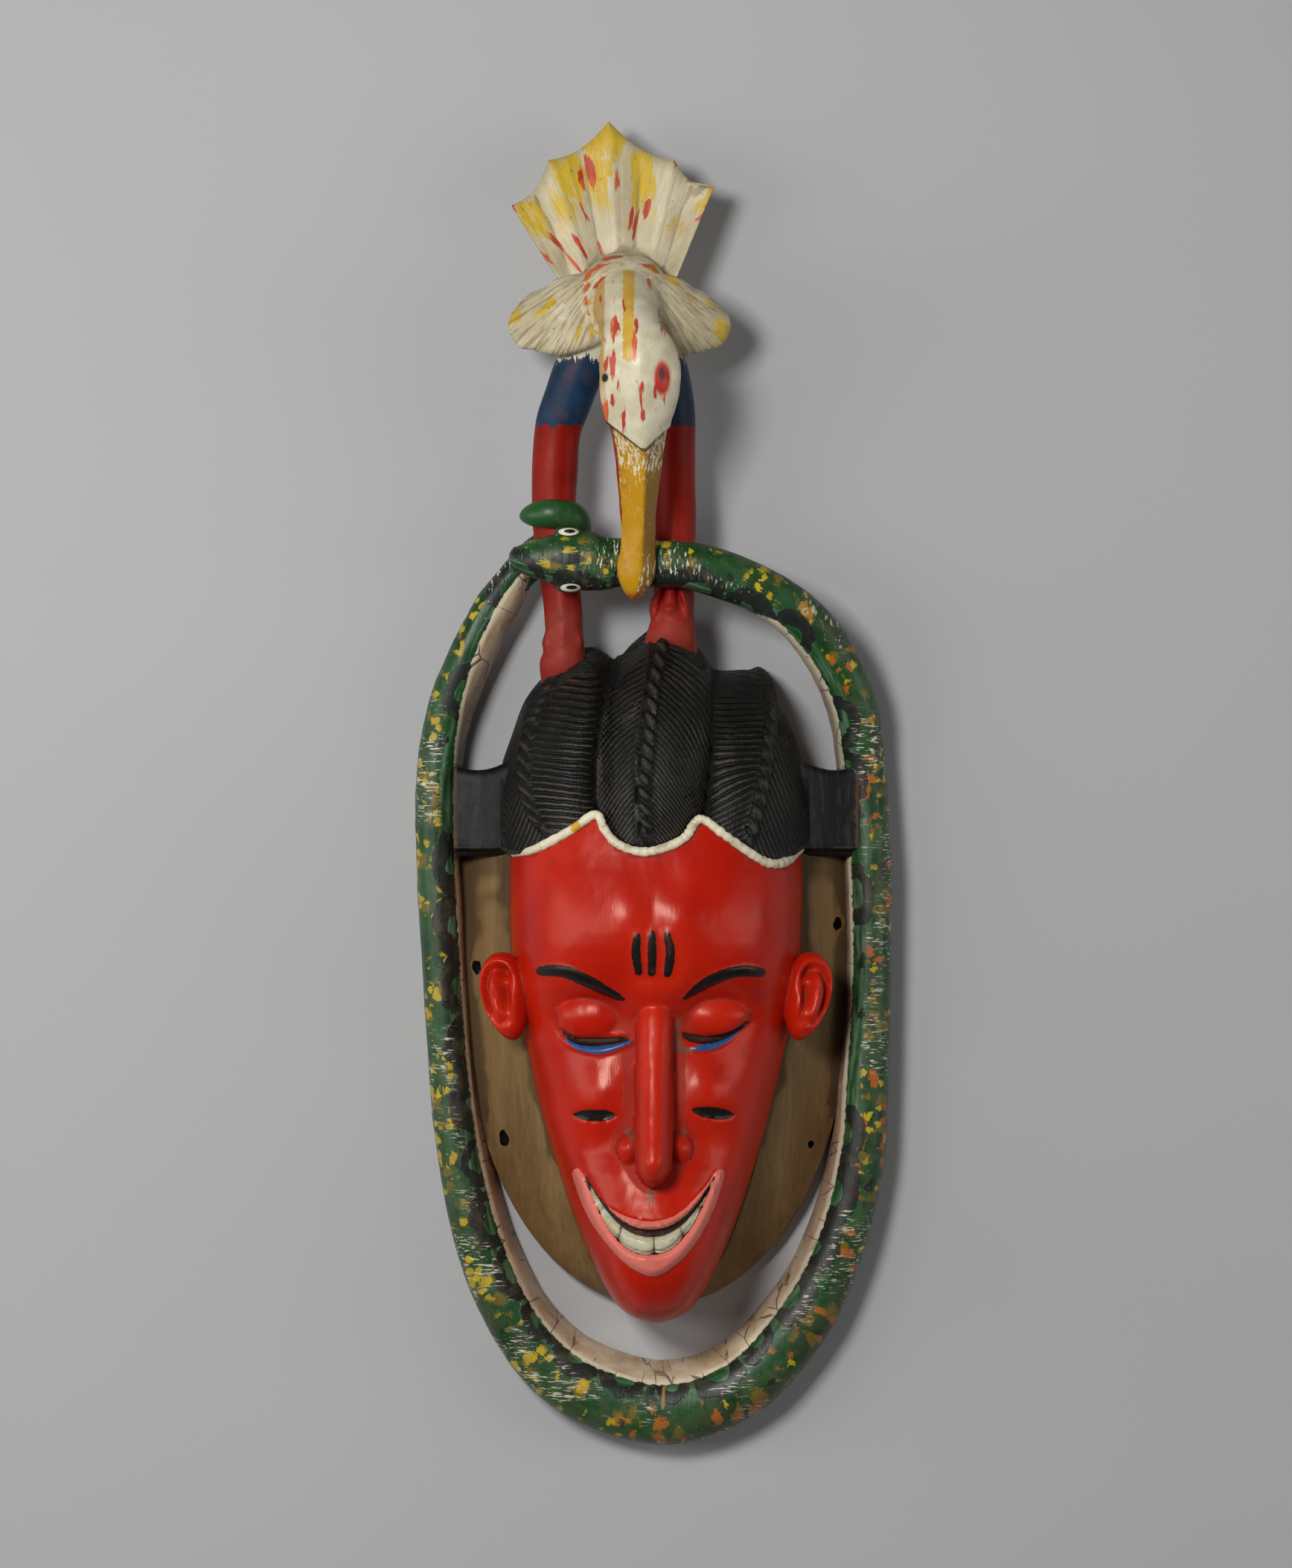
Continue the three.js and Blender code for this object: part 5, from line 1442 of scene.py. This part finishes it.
def head_paint():
    """Bird's head: white skull with brushed strokes, dark eyes, and an ochre beak scuffed at its root and tip."""
    made, place, hollow = start("head_paint")
    skull, side, _ = read(made, "head_map")
    x, y, _ = split(place)
    long = stretch(place, 1000, 1000, 0)
    wave = (noise(place, 300, 3, 0.6) - 0.5) * 1.0
    white = tint(ramp(noise(place, 60, 4, 0.6), 0.35, 0.65), srgb(200, 189, 156), srgb(222, 213, 186))
    def stroke_of(wide, tall, density, fill, seed):
        vector = stretch(long, 1 / wide, 1 / tall, 0)
        return use(DAUBS, Place=vector, Density=density, Fill=fill, Bristle=0.16, Seed=seed)["Mask"]
    stripe = calc("ABSOLUTE", x + 0.0138 + wave * 0.003)
    stripe = ramp(stripe, 0.0034, 0.0028) * ramp(y + wave * 0.012, 0.232, 0.234)
    gold = tint(noise(place, 160), srgb(190, 140, 12), srgb(214, 172, 24))
    white = tint(stripe * 0.9, white, gold)
    ochre_side = ramp(side, -0.88, -0.95) * ramp(y, 0.206, 0.226)
    white = tint(ochre_side * 0.8, white, srgb(176, 130, 26))
    fire = tint(ramp(noise(place, 90), 0.42, 0.6), srgb(186, 36, 14), srgb(208, 84, 16))
    white = tint(stroke_of(5.4, 20, 0.30, 0.42, 5.2) * 0.95, white, fire)
    white = tint(stroke_of(3.4, 11, 0.12, 0.40, 15.8) * 0.95, white, srgb(176, 44, 24))
    white = tint(oval_mask(place, (0.0047, 0.2232), (0.0044, 0.0094), 0.25), white, srgb(190, 34, 16))
    white = tint(oval_mask(place, (0.0045, 0.2255), (0.0017, 0.0036), 0.4), white, srgb(70, 20, 14))
    white = tint(oval_mask(place, (-0.0268, 0.2238), (0.0018, 0.0025), 0.3), white, srgb(20, 18, 15))
    turned = side + wave * 0.16
    # painted shade: past the ridge, the beak's right facet is painted a darker, browner ochre
    beak = tint(ramp(turned, 0.22, 0.40), srgb(188, 136, 4), srgb(140, 100, 22))
    beak = tint(ramp(noise(place, 90, 4, 0.6), 0.52, 0.70) * 0.35, beak, srgb(120, 84, 20))
    beak = tint(ramp(y + wave * 0.002, 0.1075, 0.1045), beak, srgb(170, 84, 24))
    scuff = noise(stretch(place, 760, 130, 500), 1.0, 4, 0.68)
    near_root = ramp(y, 0.158, 0.180)
    near_tip = ramp(y, 0.130, 0.122) * ramp(side, 0.0, 0.35) * 0.75
    pale = ramp(scuff + calc("MAXIMUM", near_root, near_tip) * 0.17, 0.66, 0.70)
    beak = tint(pale * 0.85, beak, srgb(222, 214, 186))
    low = ramp(turned, -0.86, -0.93) * (ramp(y, 0.140, 0.150) * ramp(y, 0.206, 0.200))
    beak = tint(low, beak, srgb(136, 24, 12))
    edge = skull + wave * 0.5
    colour = tint(ramp(edge, -0.15, 0.15), beak, white)
    rim = ramp(calc("ABSOLUTE", edge + 0.45), 0.7, 0.3) * ramp(side, 0.75, 0.2)
    colour = tint(rim * 0.8, colour, srgb(38, 32, 26))
    return finish_paint(made, place, hollow, colour, 0.45, 0.0005, Dirt=0.6, Wear=0.1, Gloss=0.32, Tone=0.10,
                        Dirt_Color=srgb(86, 70, 44), Wear_Color=srgb(206, 188, 140))


def leg_paint():
    """Legs: red below and blue above, meeting in a brushed edge, with ragged white where the bird's belly begins."""
    made, place, hollow = start("leg_red_blue", 0.22, (1.0, 0.66, 0.56, 1.0))
    y = split(place)[1]
    soft = (noise(place, 130, 2) - 0.5) * 0.008
    drag = (noise(stretch(place, 520, 60, 420), 1.0, 3, 0.65) - 0.5) * 0.020
    red = tint(ramp(noise(place, 34, 3), 0.3, 0.7), srgb(124, 12, 4), srgb(148, 22, 8))
    foot = ramp(y, 0.108, 0.088)
    red = tint(foot * 0.6, red, tint(noise(place, 120, 3), srgb(120, 50, 42), srgb(164, 64, 54)))
    nail = foot * ramp(noise(place, 150, 2), 0.58, 0.64)
    red = tint(nail * 0.6, red, srgb(156, 30, 16))
    blue = tint(ramp(noise(place, 50, 3), 0.3, 0.7), srgb(14, 42, 66), srgb(25, 60, 88))
    colour = tint(ramp(y + soft, 0.2008, 0.2014), red, blue)
    colour = tint(ramp(y + drag, 0.2372, 0.2382), colour, srgb(206, 198, 172))
    return finish_paint(made, place, hollow, colour, 0.4, 0.0005, Dirt=0.5, Wear=0.14, Gloss=0.46, Tone=0.14,
                        Dirt_Color=srgb(44, 16, 10), Wear_Color=srgb(130, 70, 54))


# ---- The carving ----

FINISH = {
    "face": "face_enamel", "ear_left": "face_enamel", "ear_right": "face_enamel", "hair": "hair_black",
    "bead": "bead_cream", "block_left": "block_black", "block_right": "block_black", "collar": "collar_wood",
    "hollow": "hollow_wood", "lacing": "hollow_wood", "snake": "snake_green", "snake_eyes": "snake_green",
    "tail": "tail_green", "leg_left": "leg_red_blue", "leg_right": "leg_red_blue", "foot_left": "leg_red_blue",
    "foot_right": "leg_red_blue", "body": "body_white", "wing_left": "wing_white", "wing_right": "wing_white",
    "fan": "fan_white", "head": "head_paint",
}


def carve():
    """One closed carving: head forms joined, hollow and lacing holes cut, then the snake and the bird joined."""
    head = form("face", face_grid())
    fuse(head, [
        form("collar", collar_grid()), form("hair", hair_grid()), form("bead", hairline_grid()),
        form("ear_left", ear_grid(-1)), form("ear_right", ear_grid(1)),
        form("block_left", bracket_grid(-1)), form("block_right", bracket_grid(1)),
    ], "UNION")
    fuse(head, [form("hollow", hollow_grid(), -5.0)], "DIFFERENCE")
    fuse(head, [form("lacing", lacing_grid(*hole), -5.0) for hole in LACING], "DIFFERENCE")
    snake = [*SNAKE_HEAD, *RING]
    fuse(head, [
        form("snake", limb(snake, UP, 32, 12 * (len(snake) - 1), ring_section, ring_relief)),
        form("tail", limb(TAIL_COIL, ALONG, 24, 80)),
        form("snake_eyes", egg((-48, 140, 69), (8.5, 4.6, 7.5), (0, 0, -8), 36, 24)),
        form("snake_eyes", egg((-47, 111.8, 69), (8.5, 4.6, 7.5), (0, 0, 6), 36, 24)),
        form("leg_left", limb(LEFT_LEG, ACROSS, 32, 90, relief=leg_relief(101))),
        form("leg_right", limb(RIGHT_LEG, ACROSS, 32, 80, relief=leg_relief(102))),
        form("foot_left", foot_grid(-51.5, 76, 50)), form("foot_right", foot_grid(8.5, 95, 57)),
        form("fan", fan_grid()),
        form("body", egg((-17, 270, 57), (27, 28, 30), (0, 0, 0), 56, 40)),
        form("wing_left", wing_grid(-1)), form("wing_right", wing_grid(1)),
        form("head", head_grid()),
    ], "UNION")
    return head


def add_maps(mesh):
    """Stores what the paint follows: marks of the face, strands of the hair, the way along the snake, and hollows."""
    points, edges, corners, counts, slots = mesh_arrays(mesh)
    names = [m.name for m in mesh.materials]
    owner = np.repeat(slots, counts)
    def part(*wanted):
        chosen = np.zeros(len(points), bool)
        chosen[corners[np.isin(owner, [k for k, n in enumerate(names) if n in wanted])]] = True
        return np.flatnonzero(chosen)
    maps = {name: np.full((len(points), 3), -9.0) for name in ("mark_map", "mouth_map")}
    maps["strand_map"] = np.zeros((len(points), 3))
    maps["snake_map"] = np.zeros((len(points), 3))
    at = part("face")
    x, y, z = points[at].T
    marks = face_fields(x, y)
    front = np.where(z > 60, 0.0, -30.0)
    mouth_gap = np.minimum(marks["mouth"], -marks["teeth"]) + 0.4
    covered = y - along(HAIRLINE, x) - 1.2
    dark = np.maximum.reduce([marks["brow"], marks["bar"], marks["slit"], marks["scar"], mouth_gap, covered])
    maps["mark_map"][at] = np.clip(np.stack([dark + front, marks["blue"] + front, marks["lips"] + front], 1), -9, 9)
    maps["mouth_map"][at] = np.clip(np.stack([marks["teeth"] + front, marks["worn"] + front, marks["gap"]], 1), -9, 9)
    at = part("hair")
    phase, depth = strand_map(*points[at].T)
    across, twist = plait_map(*points[at].T)
    on_plait = np.abs(across) < 1.05
    maps["strand_map"][at] = np.stack([phase, depth * ~on_plait, np.where(on_plait, twist, -1)], 1)
    at = part("snake", "snake_eyes")
    travel, angle, edge, pale = snake_map(points[at])
    maps["snake_map"][at] = np.stack([travel, angle, edge], 1)
    wall = np.full(len(points), -9.0)
    wall[at] = pale
    maps["head_map"] = np.zeros((len(points), 3))
    at = part("head")
    maps["head_map"][at, :2] = np.stack(head_map(points[at]), 1)
    normals = fetch(mesh.vertices, "normal", 3, float)
    fair = points
    for _ in range(3):
        fair = 0.5 * fair + 0.5 * neighbour_mean(fair, edges)
    sunk = ((fair - points) * normals).sum(1)
    sunk = neighbour_mean(sunk[:, None], edges)[:, 0]
    for _ in range(36):
        fair = 0.3 * fair + 0.7 * neighbour_mean(fair, edges)
    valley = ((fair - points) * normals).sum(1)
    maps["relief_map"] = np.stack([np.clip(sunk / 0.5, -1, 1), smooth_step(0.3, 2.6, valley), wall], 1)
    for name, values in maps.items():
        add_map(mesh, name, *values.T)


def dress(mesh, paints):
    """Gives each face the paint of the form it came from."""
    names = [m.name for m in mesh.materials]
    slots = fetch(mesh.polygons, "material_index")
    order = list(dict.fromkeys(FINISH[name] for name in names))
    mesh.materials.clear()
    for name in order:
        mesh.materials.append(paints[name])
    lookup = np.array([order.index(FINISH[name]) for name in names])
    mesh.polygons.foreach_set("material_index", lookup[slots])


mask = carve()
mask.name = "carved_mask_dressed"
mask.data.name = "carved_mask_dressed"
# Forms between which the seams are filleted
SOFT = [
    {"body", "wing_left", "wing_right", "head", "fan", "leg_left", "leg_right"},
    {"foot_left", "leg_left"}, {"foot_right", "leg_right"}, {"face", "ear_left"}, {"face", "ear_right"},
    {"snake", "tail"}, {"snake", "snake_eyes"},
]
soften(mask.data, SOFT)
keep_inside(mask.data, *cad_box)
add_maps(mask.data)
paints = {m.name: m for m in (
    face_paint(), hair_paint(), cream_bead(), block_black(), snake_paint(), plain_green(), leg_paint(), head_paint(),
    bare_wood("collar_wood", srgb(132, 104, 64), srgb(102, 76, 42), 0.55),
    bare_wood("hollow_wood", srgb(112, 86, 54), srgb(74, 54, 32), 0.62),
    bird_paint("fan_white", (-0.019, 0.262, 0.047), 0.25, (14, 34, 0.62), (5.0, 19, 0.26), start_at=(0.052, 0.070)),
    bird_paint("body_white", (-0.015, 0.258, 0.05), 0.7, (9, 14, 0.14), (3.8, 30, 0.34), ring=True),
    bird_paint("wing_white", (-0.019, 0.300, 0.05), 1.0, (9, 17, 0.26), (5.0, 15, 0.06)),
)}
dress(mask.data, paints)
mask.data.shade_smooth()
mask.data.set_sharp_from_angle(angle=np.radians(42))
for left_over in [m for m in bpy.data.materials if m.name in FINISH]:
    bpy.data.materials.remove(left_over)
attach(mask, "root")
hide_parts("carved_mask")


# ---- Floor, light and camera ----

def add_floor():
    """Wide pale floor on which the mask lies."""
    mesh = bpy.data.meshes.new("floor")
    mesh.from_pydata([(-6, -6, 0), (6, -6, 0), (6, 6, 0), (-6, 6, 0)], [], [(0, 1, 2, 3)])
    made = bpy.data.objects.new("floor", mesh)
    bpy.context.collection.objects.link(made)
    grey = bpy.data.materials.new("floor_pale")
    grey.use_nodes = True
    shader = grey.node_tree.nodes["Principled BSDF"]
    shade = tint(noise(coordinates(grey), 3, 3), srgb(176, 176, 177), srgb(182, 182, 182))
    fill(shader.inputs["Base Color"], shade)
    shader.inputs["Roughness"].default_value = 0.9
    mesh.materials.append(grey)


def add_light(name, place, target, size, power_watts, tone=(1.0, 1.0, 1.0)):
    """Soft box that faces a target."""
    data = bpy.data.lights.new(name, "AREA")
    data.shape = "RECTANGLE"
    data.size, data.size_y = size
    data.energy = power_watts
    data.color = tone
    made = bpy.data.objects.new(name, data)
    made.location = place
    made.rotation_euler = (Vector(target) - Vector(place)).to_track_quat("-Z", "Y").to_euler()
    bpy.context.collection.objects.link(made)


add_floor()
add_light("key", (-0.62, 0.46, 1.95), (0, -0.05, 0), (0.42, 0.42), 27)
add_light("side_left", (-1.9, 0.0, 1.2), (0, -0.02, 0), (0.7, 1.9), 15)
add_light("side_right", (2.0, 0.0, 1.2), (0, -0.02, 0), (0.7, 1.9), 10)
world = bpy.data.worlds.new("studio")
world.use_nodes = True
world.node_tree.nodes["Background"].inputs[0].default_value = (0.96, 0.98, 1.0, 1.0)
world.node_tree.nodes["Background"].inputs[1].default_value = 0.10
bpy.context.scene.world = world
bpy.context.scene.view_settings.view_transform = "Standard"

camera_data = bpy.data.cameras.new("camera")
camera_data.lens = 157.0
camera_data.sensor_width = 36.0
camera_data.clip_end = 30.0
camera = bpy.data.objects.new("camera", camera_data)
camera.location = (-0.0042, 0.0004, 3.88)
bpy.context.collection.objects.link(camera)
bpy.context.scene.camera = camera
